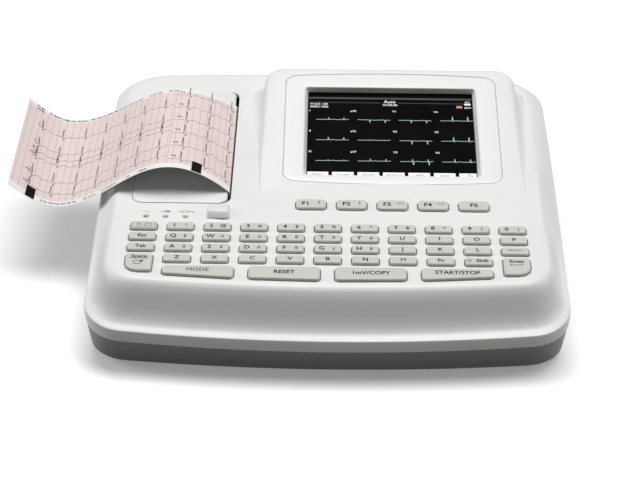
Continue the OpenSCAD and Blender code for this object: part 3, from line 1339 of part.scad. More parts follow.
module data_ports() {
  drop = socket_z - main_board_z - board_t;
  color([0.72, 0.73, 0.75]) {
    facing_right(serial_y, socket_z) d_socket(16.8, 30.8, serial_jacks, 5, 2.77);
    // Network socket
    facing_right(network_y, socket_z) difference() {
      translate([-8, -drop, -16]) cube([16, drop + 6.8, 16.6]);
      translate([-5.9, -4, -10]) cube([11.8, 7, 12]);
      translate([-3, 2.9, -10]) cube([6, 2.6, 12]);
    }
    // Two stacked USB sockets
    facing_right(usb_y, socket_z) difference() {
      translate([-7.4, -drop, -15]) cube([14.8, drop + 8, 15.6]);
      for (z = [-5.7, 1.8]) difference() {
        translate([-6.3, z, -10]) cube([12.6, 5.2, 12]);
        translate([-5.2, z + 2.9, -11]) cube([10.4, 1.6, 11]);
      }
    }
  }
}
module facing_rear(x, z) {
  translate([x, rear_panel_y, z]) rotate([90, 0, 180]) children();
}
module mains_inlet() {
  color([0.10, 0.10, 0.11]) facing_rear(inlet_x, inlet_z) union() {
    difference() {
      union() {
        linear_extrude(2.6) polygon(rounded(49, 23, 4, 5));
        translate([-13.4, -9.7, -20]) cube([26.8, 19.4, 20.5]);
      }
      translate([0, 0, -15]) linear_extrude(20) polygon([[-12, -8], [12, -8], [12, 3.4], [7.5, 8],
        [-7.5, 8], [-12, 3.4]]);
      for (side = [-1, 1]) translate([side * 20, 0, -1]) cylinder(h = 5, r = 1.6, $fn = 24);
    }
    for (p = [[-7, -2], [0, 2], [7, -2]]) translate([p.x - 1, p.y - 2, -15.5]) cube([2, 4, 14]);
    for (p = [[-7, -2], [0, 2], [7, -2]]) translate([p.x - 2.4, p.y - 0.4, -26]) cube([4.8, 0.8, 6.5]);
  }
}
rocker_r = 10.5;
rocker_sink = 7.4;
rocker_tilt = 8;
rocker_w = 9.4;
rocker_pin_r = 1.2;
// Switch housing, open in front for the rocker
module mains_switch() {
  color([0.10, 0.10, 0.11]) facing_rear(switch_x, inlet_z) difference() {
    union() {
      linear_extrude(2.2) polygon(rounded(15, 23, 1.5, 4));
      translate([-6.4, -9.6, -16]) cube([12.8, 19.2, 16.5]);
      for (z = [-6, 0, 6]) translate([-2.4, z - 0.4, -23]) cube([4.8, 0.8, 7.5]);
    }
    translate([-5, -8.9, -13]) cube([10, 17.8, 18]);
    translate([-7, 0, 3.6 - rocker_sink + 1]) rotate([0, 90, 0])
      cylinder(h = 14, r = rocker_pin_r + fit, $fn = 28);
  }
}
// Rocker with a hollow face, turned to its off side, on a pin across the housing
module mains_rocker() {
  pin_z = 4.6 - rocker_sink;
  color([0.12, 0.12, 0.13]) facing_rear(switch_x, inlet_z) translate([0, 0, pin_z])
    rotate([rocker_tilt, 0, 0]) union() {
    difference() {
      intersection() {
        translate([-rocker_w / 2, 0, 0]) rotate([0, 90, 0]) cylinder(h = rocker_w, r = 8.4, $fn = 64);
        translate([-rocker_w / 2, -8.4, -1]) cube([rocker_w, 16.8, rocker_sink + 0.6]);
      }
      translate([-rocker_w, 0, rocker_r + rocker_sink - 2.2]) rotate([0, 90, 0])
        cylinder(h = 2 * rocker_w, r = rocker_r, $fn = 72);
    }
    translate([-6.2, 0, 0]) rotate([0, 90, 0]) cylinder(h = 12.4, r = rocker_pin_r, $fn = 28);
    translate([-1, -2, -5]) cube([2, 4, 5]);
  }
}
earth_r = 3;
module earth_terminal() {
  pin_l = 11;
  color([0.80, 0.68, 0.35]) facing_rear(earth_x, inlet_z) union() {
    linear_extrude(2) circle(r = 5.5, $fn = 6);
    cylinder(h = pin_l, r = earth_r, $fn = 40);
    translate([0, 0, -12]) cylinder(h = 12.5, r = earth_r, $fn = 40);
    translate([0, 0, -panel_t - 3]) linear_extrude(3) circle(r = 5.5, $fn = 6);
  }
}

top_cover();
bottom_tray();
screen_bezel();
lcd_panel();
lcd_bracket();
paper_door();
door_hinge_rod();
platen_roller();
platen_shaft();
platen_gear();
print_head();
head_heatsink();
head_springs();
printer_frame();
stepper_motor();
motor_pinion();
idler_gear();
paper_roll();
paper_spindle();
paper_web();
chart_paper();
door_latch();
latch_spring();
keypad_mat();
key_board();
main_board();
power_supply();
battery_pack();
battery_cover();
mains_inlet();
mains_switch();
mains_rocker();
earth_terminal();
patient_socket();
data_ports();
speaker();
feet();
case_screws();
status_leds();
keys([plain_key(0, 0)]);  // power_key
keys([plain_key(0, 1)]);  // esc_key
keys([plain_key(0, 2)]);  // tab_key
keys([space_key_box()]);  // space_key
keys([enter_key_box()]);  // enter_key
keys([plain_key(10, 2)]);  // backspace_key
keys([plain_key(9, 3)]);  // shift_key
keys([plain_key(8, 3)]);  // fn_key
keys(number_row);  // number_keys
keys(upper_row);  // upper_letter_keys
keys(middle_row);  // middle_letter_keys
keys(lower_row);  // lower_letter_keys
keys([big_key(0)]);  // mode_key
keys([big_key(1)]);  // reset_key
keys([big_key(2)]);  // copy_key
keys([big_key(3)]);  // start_stop_key
keys([f_key(0)]);  // f1_key
keys([f_key(1)]);  // f2_key
keys([f_key(2)]);  // f3_key
keys([f_key(3)]);  // f4_key
keys([f_key(4)]);  // f5_key
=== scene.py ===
import bpy
import math
from mathutils import Matrix, Vector


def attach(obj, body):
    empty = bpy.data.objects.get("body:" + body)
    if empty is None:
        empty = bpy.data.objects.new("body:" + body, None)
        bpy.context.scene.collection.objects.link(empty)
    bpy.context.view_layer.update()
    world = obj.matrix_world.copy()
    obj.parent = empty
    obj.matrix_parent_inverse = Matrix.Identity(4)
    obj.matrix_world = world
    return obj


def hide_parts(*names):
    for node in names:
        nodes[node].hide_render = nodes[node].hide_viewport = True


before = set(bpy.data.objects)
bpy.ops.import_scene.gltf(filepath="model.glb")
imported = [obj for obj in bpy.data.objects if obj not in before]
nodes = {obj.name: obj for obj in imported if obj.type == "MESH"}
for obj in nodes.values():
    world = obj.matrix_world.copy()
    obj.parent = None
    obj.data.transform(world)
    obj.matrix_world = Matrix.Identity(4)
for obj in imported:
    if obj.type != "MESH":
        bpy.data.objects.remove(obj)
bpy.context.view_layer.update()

scene = bpy.context.scene
MM = 0.001


def deg(a):
    return math.radians(a)


# Local frames in millimetres, and their tilt in degrees: the key deck, and the screen hump on it
DECK_TILT, HUMP_TILT = 4, 9.5
DECK = Matrix.Translation((0, -62.4, 63)) @ Matrix.Rotation(deg(DECK_TILT), 4, "X")
HUMP = DECK @ Matrix.Translation((42.8, 41.2, 0)) @ Matrix.Rotation(deg(HUMP_TILT), 4, "X")

# ---------------------------------------------------------------- camera, floor, light
# The photo's width and the lens's length in its pixels, and how far the camera leans
PHOTO_W, FOCAL_PX, LEAN = 627, 1856.3, 0.49
SENSOR = 36
cam_at = Vector((-0.7, -1095.6, 690.1)) * MM
cam_to = Vector((-9.2, -82.5, 63.6)) * MM
ahead = (cam_to - cam_at).normalized()
right = ahead.cross(Vector((0, 0, 1))).normalized()
up = right.cross(ahead)
lean = deg(LEAN)
right_leant = right * math.cos(lean) + up * math.sin(lean)
up_leant = up * math.cos(lean) - right * math.sin(lean)
cam = bpy.data.objects.new("camera", bpy.data.cameras.new("camera"))
scene.collection.objects.link(cam)
cam.data.sensor_width = SENSOR
cam.data.lens = SENSOR * FOCAL_PX / PHOTO_W
cam.data.clip_start = 0.01
cam.data.clip_end = 50
turn = Matrix((right_leant, up_leant, -ahead)).transposed().to_4x4()
cam.matrix_world = Matrix.Translation(cam_at) @ turn
scene.camera = cam
scene.view_settings.view_transform = "Standard"

world = bpy.data.worlds.new("studio")
world.use_nodes = True
scene.world = world
# Dim room, a little brighter from below, where a pale table throws light back
sky = world.node_tree
sky.nodes["Background"].inputs["Color"].default_value = (1, 1, 1, 1)
sky_at = sky.nodes.new("ShaderNodeTexCoord")
sky_xyz = sky.nodes.new("ShaderNodeSeparateXYZ")
sky_range = sky.nodes.new("ShaderNodeMapRange")
for name, value in (("From Min", -0.1), ("From Max", 0.1), ("To Min", 0.28), ("To Max", 0.06)):
    sky_range.inputs[name].default_value = value
sky.links.new(sky_at.outputs["Generated"], sky_xyz.inputs["Vector"])
sky.links.new(sky_xyz.outputs["Z"], sky_range.inputs["Value"])
sky.links.new(sky_range.outputs["Result"], sky.nodes["Background"].inputs["Strength"])


def area_light(name, at, to, size, power, size_y=None):
    light = bpy.data.lights.new(name, "AREA")
    light.shape = "RECTANGLE"
    light.size = size
    light.size_y = size_y or size
    light.energy = power
    o = bpy.data.objects.new(name, light)
    scene.collection.objects.link(o)
    o.location = at
    o.rotation_euler = (Vector(to) - Vector(at)).to_track_quat("-Z", "Y").to_euler()


area_light("softbox_top", (0.12, 0.22, 1.9), (0, 0.0, 0.05), 1.9, 36, 1.0)
area_light("softbox_right", (1.5, 0.1, 0.8), (0.05, 0, 0.05), 0.9, 5)
area_light("softbox_left", (-1.5, 0.1, 0.8), (-0.05, 0, 0.05), 0.9, 8)


# ---------------------------------------------------------------- materials
def principled(name, color, rough, metal=0.0, **sockets):
    m = bpy.data.materials.new(name)
    m.use_nodes = True
    b = m.node_tree.nodes["Principled BSDF"]
    b.inputs["Base Color"].default_value = (*color, 1)
    b.inputs["Roughness"].default_value = rough
    b.inputs["Metallic"].default_value = metal
    for k, v in sockets.items():
        b.inputs[k.replace("_", " ")].default_value = v
    return m, m.node_tree, b


def node(tree, kind, **values):
    n = tree.nodes.new(kind)
    for k, v in values.items():
        if hasattr(n, k):
            setattr(n, k, v)
        else:
            n.inputs[k.replace("_", " ")].default_value = v
    return n


def grain(tree, b, size_mm, depth_mm):
    """Moulded or rolled surface grain: small bumps of that size."""
    t = node(tree, "ShaderNodeTexCoord")
    n = node(tree, "ShaderNodeTexNoise", Scale=1000.0 / size_mm, Detail=2.0)
    tree.links.new(t.outputs["Object"], n.inputs["Vector"])
    bump = node(tree, "ShaderNodeBump", Strength=1.0, Distance=depth_mm * MM)
    tree.links.new(n.outputs["Fac"], bump.inputs["Height"])
    tree.links.new(bump.outputs["Normal"], b.inputs["Normal"])


# Middle part of the noise's range, which the drift of colour and roughness is spread over
NOISE_LOW, NOISE_HIGH = 0.3, 0.7
# The roughness drifts over shorter lengths than the colour
ROUGH_SCALE = 0.37


def mottle(tree, b, color, spread, size_mm, rough=None, rough_spread=0.05):
    """Slow drift of colour, and of roughness, over the surface."""
    t = node(tree, "ShaderNodeTexCoord")
    n = node(tree, "ShaderNodeTexNoise", Scale=1000.0 / size_mm, Detail=4.0)
    tree.links.new(t.outputs["Object"], n.inputs["Vector"])
    ramp = node(tree, "ShaderNodeValToRGB")
    low, high = ramp.color_ramp.elements[0], ramp.color_ramp.elements[1]
    low.position, high.position = NOISE_LOW, NOISE_HIGH
    low.color = (*[c * (1 - spread) for c in color], 1)
    high.color = (*[min(1, c * (1 + spread)) for c in color], 1)
    tree.links.new(n.outputs["Fac"], ramp.inputs["Fac"])
    tree.links.new(ramp.outputs["Color"], b.inputs["Base Color"])
    if rough is not None:
        n2 = node(tree, "ShaderNodeTexNoise", Scale=1000.0 / (size_mm * ROUGH_SCALE), Detail=3.0)
        tree.links.new(t.outputs["Object"], n2.inputs["Vector"])
        span = node(tree, "ShaderNodeMapRange")
        ends = (NOISE_LOW, NOISE_HIGH, rough - rough_spread, rough + rough_spread)
        for name, value in zip(("From Min", "From Max", "To Min", "To Max"), ends):
            span.inputs[name].default_value = value
        tree.links.new(n2.outputs["Fac"], span.inputs["Value"])
        tree.links.new(span.outputs["Result"], b.inputs["Roughness"])


def moulded(name, color, rough, size_mm=0.45, depth_mm=0.012, spread=0.012, drift_mm=60.0, **sockets):
    m, tree, b = principled(name, color, rough, **sockets)
    grain(tree, b, size_mm, depth_mm)
    mottle(tree, b, color, spread, drift_mm, rough, 0.03)
    return m


def metal(name, color, rough, size_mm=0.3, depth_mm=0.004, spread=0.05, **sockets):
    m, tree, b = principled(name, color, rough, 1.0, **sockets)
    grain(tree, b, size_mm, depth_mm)
    mottle(tree, b, color, spread, 4.0, rough, 0.06)
    return m


def ink(name, color, rough=0.6):
    m, tree, b = principled(name, color, rough, Specular_IOR_Level=0.12)
    mottle(tree, b, color, 0.1, 3.0)
    return m


# How much of the room's light the screen's face gives back
SCREEN_GLOSS = 0.04


def lit(name, color, strength):
    """A lit part of the screen's picture."""
    m, _, b = principled(name, [c * 0.2 for c in color], 0.25, Specular_IOR_Level=SCREEN_GLOSS)
    b.inputs["Emission Color"].default_value = (*color, 1)
    b.inputs["Emission Strength"].default_value = strength
    return m


M = {
    "housing": moulded("housing_plastic", (0.80, 0.80, 0.785), 0.36),
    "bezel": moulded("bezel_plastic", (0.83, 0.83, 0.815), 0.30),
    "door": moulded("door_plastic", (0.81, 0.81, 0.795), 0.33),
    "latch": moulded("latch_plastic", (0.76, 0.76, 0.745), 0.36),
    "tray": moulded("tray_plastic", (0.145, 0.145, 0.150), 0.45, 0.8, 0.02, 0.04),
    "black": moulded("black_plastic", (0.018, 0.018, 0.020), 0.40, 0.6, 0.015, 0.05),
    "frame": moulded("frame_plastic", (0.055, 0.055, 0.060), 0.52, 0.9, 0.03, 0.05),
    "keys": moulded("key_rubber", (0.575, 0.577, 0.541), 0.58, 0.35, 0.02, 0.02, 25.0),
    "gear": moulded("gear_plastic", (0.72, 0.68, 0.56), 0.38),
    "steel": metal("bright_steel", (0.62, 0.62, 0.64), 0.28),
    "sheet": metal("plated_sheet", (0.60, 0.61, 0.64), 0.34, 0.8, 0.01),
    "shell": metal("nickel_shell", (0.66, 0.65, 0.63), 0.24),
    "sink": metal("extruded_aluminium", (0.70, 0.71, 0.72), 0.35, 0.5, 0.01),
    "brass": metal("brass", (0.75, 0.58, 0.30), 0.26),
    "motor": metal("motor_can", (0.50, 0.51, 0.53), 0.36, 0.4, 0.008),
    "platen": moulded("platen_rubber", (0.030, 0.030, 0.031), 0.75, 0.25, 0.02, 0.06, 8.0),
    "foot": moulded("foot_rubber", (0.028, 0.028, 0.030), 0.72, 0.4, 0.03, 0.08, 5.0),
    "head": moulded("head_ceramic", (0.20, 0.14, 0.11), 0.18, 0.3, 0.004, 0.05, 6.0),
    "board": moulded("solder_mask", (0.015, 0.15, 0.07), 0.32, 0.5, 0.02, 0.15, 4.0),
    "power_board": moulded("paper_board", (0.42, 0.30, 0.10), 0.45, 0.5, 0.02, 0.15, 6.0),
    "battery": moulded("shrink_sleeve", (0.03, 0.07, 0.20), 0.25, 2.5, 0.05, 0.05, 20.0),
    "legend": ink("legend_ink", (0.022, 0.024, 0.026)),
    "print": ink("thermal_print", (0.030, 0.026, 0.030), 0.75),
    "trace": ink("trace_print", (0.045, 0.036, 0.042), 0.75),
    "mark": ink("mark_print", (0.006, 0.005, 0.006), 0.8),
    "green_line": ink("green_outline", (0.10, 0.22, 0.13)),
    "icon": ink("icon_ink", (0.10, 0.105, 0.11)),
    "lens": principled("led_lens", (0.52, 0.53, 0.48), 0.22)[0],
    "lens_on": principled("led_lens_on", (0.42, 0.48, 0.20), 0.22)[0],
}


def screen_black():
    """The screen's face where nothing is lit."""
    color = (0.0035, 0.0035, 0.004)
    m, tree, b = principled("screen_black", color, 0.25, Specular_IOR_Level=SCREEN_GLOSS)
    grain(tree, b, 0.25, 0.0006)
    mottle(tree, b, color, 0.3, 12.0)
    return m


M["glass"] = screen_black()
M["screen_white"] = lit("screen_white", (0.90, 0.92, 0.90), 1.0)
M["screen_grey"] = lit("screen_grey", (0.12, 0.12, 0.12), 0.6)
M["screen_dim"] = lit("screen_dim", (0.14, 0.14, 0.145), 0.5)
M["screen_trace"] = lit("screen_trace", (0.52, 0.66, 0.53), 0.75)
M["screen_red"] = lit("screen_red", (0.42, 0.04, 0.05), 0.55)
M["screen_ink"] = lit("screen_ink", (0.02, 0.02, 0.02), 0.1)


# Width of the chart paper, and where its printed grid starts and ends across it, in millimetres
STRIP_W, GRID_FRONT, GRID_REAR = 110.0, 6.0, 105.6


def chart_paper_material():
    """Coated paper with a pink millimetre grid between its margins; UV is in mm along and across."""
    m, tree, b = principled("chart_paper", (0.83, 0.75, 0.74), 0.42)
    link = tree.links.new
    t = node(tree, "ShaderNodeTexCoord")
    sep = node(tree, "ShaderNodeSeparateXYZ")
    link(t.outputs["UV"], sep.inputs["Vector"])

    def math_node(op, a, c=None):
        n = node(tree, "ShaderNodeMath", operation=op)
        for i, v in enumerate((a, c)):
            if v is None:
                continue
            if isinstance(v, (int, float)):
                n.inputs[i].default_value = v
            else:
                link(v, n.inputs[i])
        return n.outputs[0]

    def lines(axis, pitch, width):
        """1 on lines of that pitch and width across the axis, and 0 between them."""
        u = math_node("DIVIDE", axis, pitch)
        f = math_node("FRACT", u)
        d = math_node("ABSOLUTE", math_node("SUBTRACT", f, 0.5))
        return math_node("GREATER_THAN", d, 0.5 - width / pitch / 2)

    along, across = sep.outputs["X"], sep.outputs["Y"]
    fine = math_node("MAXIMUM", lines(along, 1.0, 0.13), lines(across, 1.0, 0.13))
    bold_across = math_node("MULTIPLY", lines(across, 5.0, 0.26), 0.6)
    bold = math_node("MAXIMUM", lines(along, 5.0, 0.34), bold_across)
    past_front = math_node("GREATER_THAN", across, GRID_FRONT)
    inside = math_node("MULTIPLY", past_front, math_node("LESS_THAN", across, GRID_REAR))
    soft = node(tree, "ShaderNodeTexNoise", Scale=0.02, Detail=3.0)
    link(t.outputs["UV"], soft.inputs["Vector"])
    wash = node(tree, "ShaderNodeValToRGB")
    wash.color_ramp.elements[0].position = 0.3
    wash.color_ramp.elements[1].position = 0.75
    wash.color_ramp.elements[0].color = (0.82, 0.715, 0.685, 1)
    wash.color_ramp.elements[1].color = (0.82, 0.695, 0.69, 1)
    link(soft.outputs["Fac"], wash.inputs["Fac"])

    def mix(fac, a, c):
        n = node(tree, "ShaderNodeMix", data_type="RGBA")
        link(fac, n.inputs[0])
        for i, v in ((6, a), (7, c)):
            if isinstance(v, tuple):
                n.inputs[i].default_value = (*v, 1)
            else:
                link(v, n.inputs[i])
        return n.outputs[2]

    c1 = mix(math_node("MULTIPLY", fine, 0.45), wash.outputs["Color"], (0.66, 0.44, 0.44))
    c2 = mix(math_node("MULTIPLY", bold, 0.85), c1, (0.52, 0.33, 0.34))
    c3 = mix(inside, (0.86, 0.85, 0.84), c2)
    link(c3, b.inputs["Base Color"])
    fibre = node(tree, "ShaderNodeTexNoise", Scale=3.0, Detail=3.0)
    link(t.outputs["UV"], fibre.inputs["Vector"])
    bump = node(tree, "ShaderNodeBump", Strength=0.6, Distance=0.00002)
    link(fibre.outputs["Fac"], bump.inputs["Height"])
    link(bump.outputs["Normal"], b.inputs["Normal"])
    return m


M["paper"] = chart_paper_material()
M["paper_back"] = moulded("paper_back", (0.80, 0.80, 0.79), 0.6, 0.3, 0.01, 0.01, 30.0)


def roll_side():
    """Wound paper with fine uneven edges."""
    color = (0.84, 0.74, 0.72)
    m, tree, b = principled("roll_paper", color, 0.6)
    t = node(tree, "ShaderNodeTexCoord")
    n = node(tree, "ShaderNodeTexNoise", Scale=900.0, Detail=2.0)
    tree.links.new(t.outputs["Object"], n.inputs["Vector"])
    bump = node(tree, "ShaderNodeBump", Strength=0.7, Distance=0.00004)
    tree.links.new(n.outputs["Fac"], bump.inputs["Height"])
    tree.links.new(bump.outputs["Normal"], b.inputs["Normal"])
    mottle(tree, b, color, 0.03, 2.0)
    return m


M["roll"] = roll_side()


# ---------------------------------------------------------------- shared modifiers for the CAD nodes
WELD_DISTANCE = 2e-6


def smoothing_group(angle):
    """Joins split corners, drops stored normals and smooths edges flatter than the angle."""
    g = bpy.data.node_groups.new(f"smooth_{angle}", "GeometryNodeTree")
    g.interface.new_socket("Geometry", in_out="INPUT", socket_type="NodeSocketGeometry")
    g.interface.new_socket("Geometry", in_out="OUTPUT", socket_type="NodeSocketGeometry")
    i, o = g.nodes.new("NodeGroupInput"), g.nodes.new("NodeGroupOutput")
    merge = g.nodes.new("GeometryNodeMergeByDistance")
    merge.inputs["Distance"].default_value = WELD_DISTANCE
    drop = g.nodes.new("GeometryNodeRemoveAttribute")
    drop.inputs["Name"].default_value = "custom_normal"
    faces = g.nodes.new("GeometryNodeSetShadeSmooth")
    faces.domain = "FACE"
    faces.inputs["Shade Smooth"].default_value = True
    edges = g.nodes.new("GeometryNodeSetShadeSmooth")
    edges.domain = "EDGE"
    edges.inputs["Shade Smooth"].default_value = False
    bend = g.nodes.new("GeometryNodeInputMeshEdgeAngle")
    over = g.nodes.new("FunctionNodeCompare")
    over.data_type = "FLOAT"
    over.operation = "GREATER_THAN"
    over.inputs[1].default_value = deg(angle)
    link = g.links.new
    link(i.outputs[0], drop.inputs["Geometry"])
    link(drop.outputs["Geometry"], merge.inputs["Geometry"])
    link(merge.outputs["Geometry"], faces.inputs["Geometry"])
    link(faces.outputs["Geometry"], edges.inputs["Geometry"])
    link(bend.outputs["Unsigned Angle"], over.inputs[0])
    link(over.outputs[0], edges.inputs["Selection"])
    link(edges.outputs["Geometry"], o.inputs[0])
    return g


SMOOTH = {}


def dress(name, material, angle=30, bevel=0.0):
    """Gives a CAD node its material, smooth curved faces and, if asked, softened edges."""
    o = nodes[name]
    o.data.materials.clear()
    o.data.materials.append(M[material])
    if angle not in SMOOTH:
        SMOOTH[angle] = smoothing_group(angle)
    if bevel:
        weld = o.modifiers.new("join", "WELD")
        weld.merge_threshold = WELD_DISTANCE
        b = o.modifiers.new("edges", "BEVEL")
        b.width = bevel * MM
        b.segments = 2
        b.limit_method = "ANGLE"
        b.angle_limit = deg(40)
        b.use_clamp_overlap = True
    s = o.modifiers.new("shading", "NODES")
    s.node_group = SMOOTH[angle]


# ---------------------------------------------------------------- mesh building
def both_sides(before, point, after, width, z):
    """The two points beside a flat line of that width, whose way is from before to after."""
    (ax, ay), (x, y), (bx, by) = before, point, after
    length = math.hypot(bx - ax, by - ay) or 1
    nx, ny = -(by - ay) / length * width / 2, (bx - ax) / length * width / 2
    return [(x + nx, y + ny, z), (x - nx, y - ny, z)]


def closed_band(n):
    """Faces between n pairs of points that go round and meet."""
    return [[2 * i, 2 * i + 1, (2 * i + 3) % (2 * n), (2 * i + 2) % (2 * n)] for i in range(n)]


class Piece:
    """Collects faces in a local frame in millimetres and makes one object of them."""

    def __init__(self, name, place=DECK):
        self.name, self.place = name, place
        self.v, self.f, self.m, self.uv = [], [], [], []
        self.mats = []

    def slot(self, material):
        if material not in self.mats:
            self.mats.append(material)
        return self.mats.index(material)

    def add(self, verts, faces, material, uvs=None):
        base = len(self.v)
        self.v += [tuple(p) for p in verts]
        k = self.slot(material)
        for face in faces:
            self.f.append([base + i for i in face])
            self.m.append(k)
        self.uv += uvs if uvs else [(0.0, 0.0)] * len(verts)

    def rings(self, rings, material, close=False, cap_low=False, cap_high=False):
        """Skin over equally long rings, each anticlockwise seen from above, from low to high."""
        n = len(rings[0])
        faces = []
        last = len(rings)
        for k in range(last if close else last - 1):
            a, b = k * n, ((k + 1) % last) * n
            for i in range(n):
                j = (i + 1) % n
                faces.append([a + i, a + j, b + j, b + i])
        if cap_low:
            faces.append(list(range(n - 1, -1, -1)))
        if cap_high:
            faces.append([(last - 1) * n + i for i in range(n)])
        self.add([p for r in rings for p in r], faces, material)

    def plate(self, outline, z, material):
        self.add([(x, y, z) for x, y in outline], [list(range(len(outline)))], material)

    def stroke(self, points, width, z, material):
        """A flat line of that width through 2-D points."""
        out = []
        n = len(points)
        for i, point in enumerate(points):
            out += both_sides(points[max(i - 1, 0)], point, points[min(i + 1, n - 1)], width, z)
        self.add(out, [[2 * i, 2 * i + 1, 2 * i + 3, 2 * i + 2] for i in range(n - 1)], material)

    def text(self, string, x, y, cap, z, material, wide=1.0, bold=0.0, align="CENTER"):
        """Flat letters with capitals of that height in mm; wide is -1 for letters read from the other end."""
        verts, faces = letters(string, bold, align)
        k = cap / CAP_HEIGHT
        pts = [(x + px * k * wide, y + (py - CAP_HEIGHT / 2) * k, z) for px, py in verts]
        self.add(pts, faces, material)

    def make(self, body, angle=35, bend=None, replaces=()):
        mesh = bpy.data.meshes.new(self.name)
        points = [bend(p) for p in self.v] if bend else self.v
        mesh.from_pydata([tuple(self.place @ Vector(p) * MM) for p in points], [], self.f)
        for name in self.mats:
            mesh.materials.append(M[name])
        for poly, k in zip(mesh.polygons, self.m):
            poly.material_index = k
            poly.use_smooth = True
        layer = mesh.uv_layers.new(name="UVMap")
        for loop in mesh.loops:
            layer.data[loop.index].uv = self.uv[loop.vertex_index]
        mesh.update()
        mesh.set_sharp_from_angle(angle=deg(angle))
        o = bpy.data.objects.new(self.name, mesh)
        scene.collection.objects.link(o)
        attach(o, body)
        if replaces:
            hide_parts(*replaces)


# Height of a capital in the font, at size 1
CAP_HEIGHT = 0.729
letter_store = {}


def letters(string, bold, align):
    """Flat outline letters as 2-D points and faces."""
    key = (string, bold, align)
    if key in letter_store:
        return letter_store[key]
    curve = bpy.data.curves.new("letters", "FONT")
    curve.body = string
    curve.size = 1.0
    curve.align_x = align
    curve.offset = bold
    curve.resolution_u = 3
    o = bpy.data.objects.new("letters", curve)
    scene.collection.objects.link(o)
    bpy.context.view_layer.update()
    mesh = o.evaluated_get(bpy.context.evaluated_depsgraph_get()).to_mesh()
    verts = [(v.co.x, v.co.y) for v in mesh.vertices]
    faces = []
    for p in mesh.polygons:
        face = list(p.vertices)
        faces.append(face if p.normal.z > 0 else face[::-1])
    o.to_mesh_clear()
    bpy.data.objects.remove(o)
    bpy.data.curves.remove(curve)
    letter_store[key] = (verts, faces)
    return letter_store[key]


# The corners of a rectangle from front right, anticlockwise: side in x and y, and where the arc starts
CORNERS = ((1, -1, -90), (1, 1, 0), (-1, 1, 90), (-1, -1, 180))


def arc(cx, cy, r, a0, a1, n):
    turns = [deg(a0 + (a1 - a0) * i / n) for i in range(n + 1)]
    return [(cx + r * math.cos(a), cy + r * math.sin(a)) for a in turns]


def rounded(cx, cy, w, h, r, n=6):
    """Outline of a rectangle with round corners."""
    pts = []
    for sx, sy, a in CORNERS:
        pts += arc(cx + sx * (w / 2 - r), cy + sy * (h / 2 - r), r, a, a + 90, n)
    return pts


# ---------------------------------------------------------------- CAD nodes that keep their shape
dress("top_cover", "housing", 32)
dress("bottom_tray", "tray", 32)
dress("lcd_panel", "black")
dress("lcd_bracket", "sheet")
dress("paper_door", "door", 35, 0.35)
dress("door_hinge_rod", "steel")
dress("platen_roller", "platen")
dress("platen_shaft", "steel")
dress("platen_gear", "gear")
dress("print_head", "head")
dress("head_heatsink", "sink")
dress("head_springs", "steel", 60)
dress("printer_frame", "frame", 35)
dress("stepper_motor", "motor")
dress("motor_pinion", "brass")
dress("idler_gear", "gear")
dress("paper_roll", "roll")
dress("paper_spindle", "frame")
dress("paper_web", "paper_back")
dress("door_latch", "latch", 35, 0.5)
dress("latch_spring", "steel", 60)
dress("keypad_mat", "keys")
dress("key_board", "board")
dress("main_board", "board")
dress("power_supply", "power_board")
dress("battery_pack", "battery", 35, 0.5)
dress("battery_cover", "tray", 35, 0.3)
dress("mains_inlet", "black", 35, 0.2)
dress("mains_switch", "black", 35, 0.2)
dress("mains_rocker", "black", 35, 0.3)
dress("earth_terminal", "shell", 35, 0.2)
dress("patient_socket", "shell", 35)
dress("data_ports", "shell", 35)
dress("speaker", "black")
dress("feet", "foot", 35, 0.4)
dress("case_screws", "steel")
dress("status_leds", "lens", 40)

# ---------------------------------------------------------------- keys
PITCH_X, PITCH_Y = 24.0, 11.73
KEY_W, KEY_D, KEY_R = 17.8, 8.5, 1.8
WIDE_KEY_R, ROUND_KEY_R = 3.0, 9.0
F_KEY_W, F_KEY_D, F_KEY_PITCH = 20.6, 11.0, 26.95
F_KEY_MID, F_KEY_Y = 42.5, 27
BIG_KEY_W, BIG_KEY_PITCH, BIG_KEY_REAR = 45.8, 54.6, -43.0
# The front edge of the big keys lies on a wide arc
BOW_FRONT, BOW = -57.3, 1150.0
CORNER_KEY_GAP = 1.6
# Half profile of a key as (outset, height): flange under the deck, drafted side, edge and top
KEY_SIDE = [(-2.0, -4.1), (0.9, -4.1), (0.9, -3.1), (0.0, -3.1), (-0.2, -0.8), (-0.3, 0.85)]
KEY_EDGE_W, KEY_EDGE_H, KEY_EDGE_STEPS = 0.9, 1.1, 4
KEY_TOP = [(-1.5, 1.97), (-2.3, 1.93), (-3.2, 1.91)]


def col(c):
    return (c - 5) * PITCH_X


def plain_key(c, r):
    """A key as its left and right, rear, left and right end of its front, and corner radii."""
    x, y = col(c), -r * PITCH_Y
    return (x - KEY_W / 2, x + KEY_W / 2, y + KEY_D / 2, y - KEY_D / 2, y - KEY_D / 2, (KEY_R,) * 4)


def f_key(i):
    x, y = F_KEY_MID + (i - 2) * F_KEY_PITCH, F_KEY_Y
    a, b = x - F_KEY_W / 2, x + F_KEY_W / 2
    return (a, b, y + F_KEY_D / 2, y - F_KEY_D / 2, y - F_KEY_D / 2, (WIDE_KEY_R,) * 4)


def bow_y(x):
    return BOW_FRONT + BOW - math.sqrt(BOW * BOW - x * x)


def big_key(i):
    x = (i - 1.5) * BIG_KEY_PITCH
    a, b = x - BIG_KEY_W / 2, x + BIG_KEY_W / 2
    return (a, b, BIG_KEY_REAR, bow_y(a), bow_y(b), (WIDE_KEY_R,) * 4)


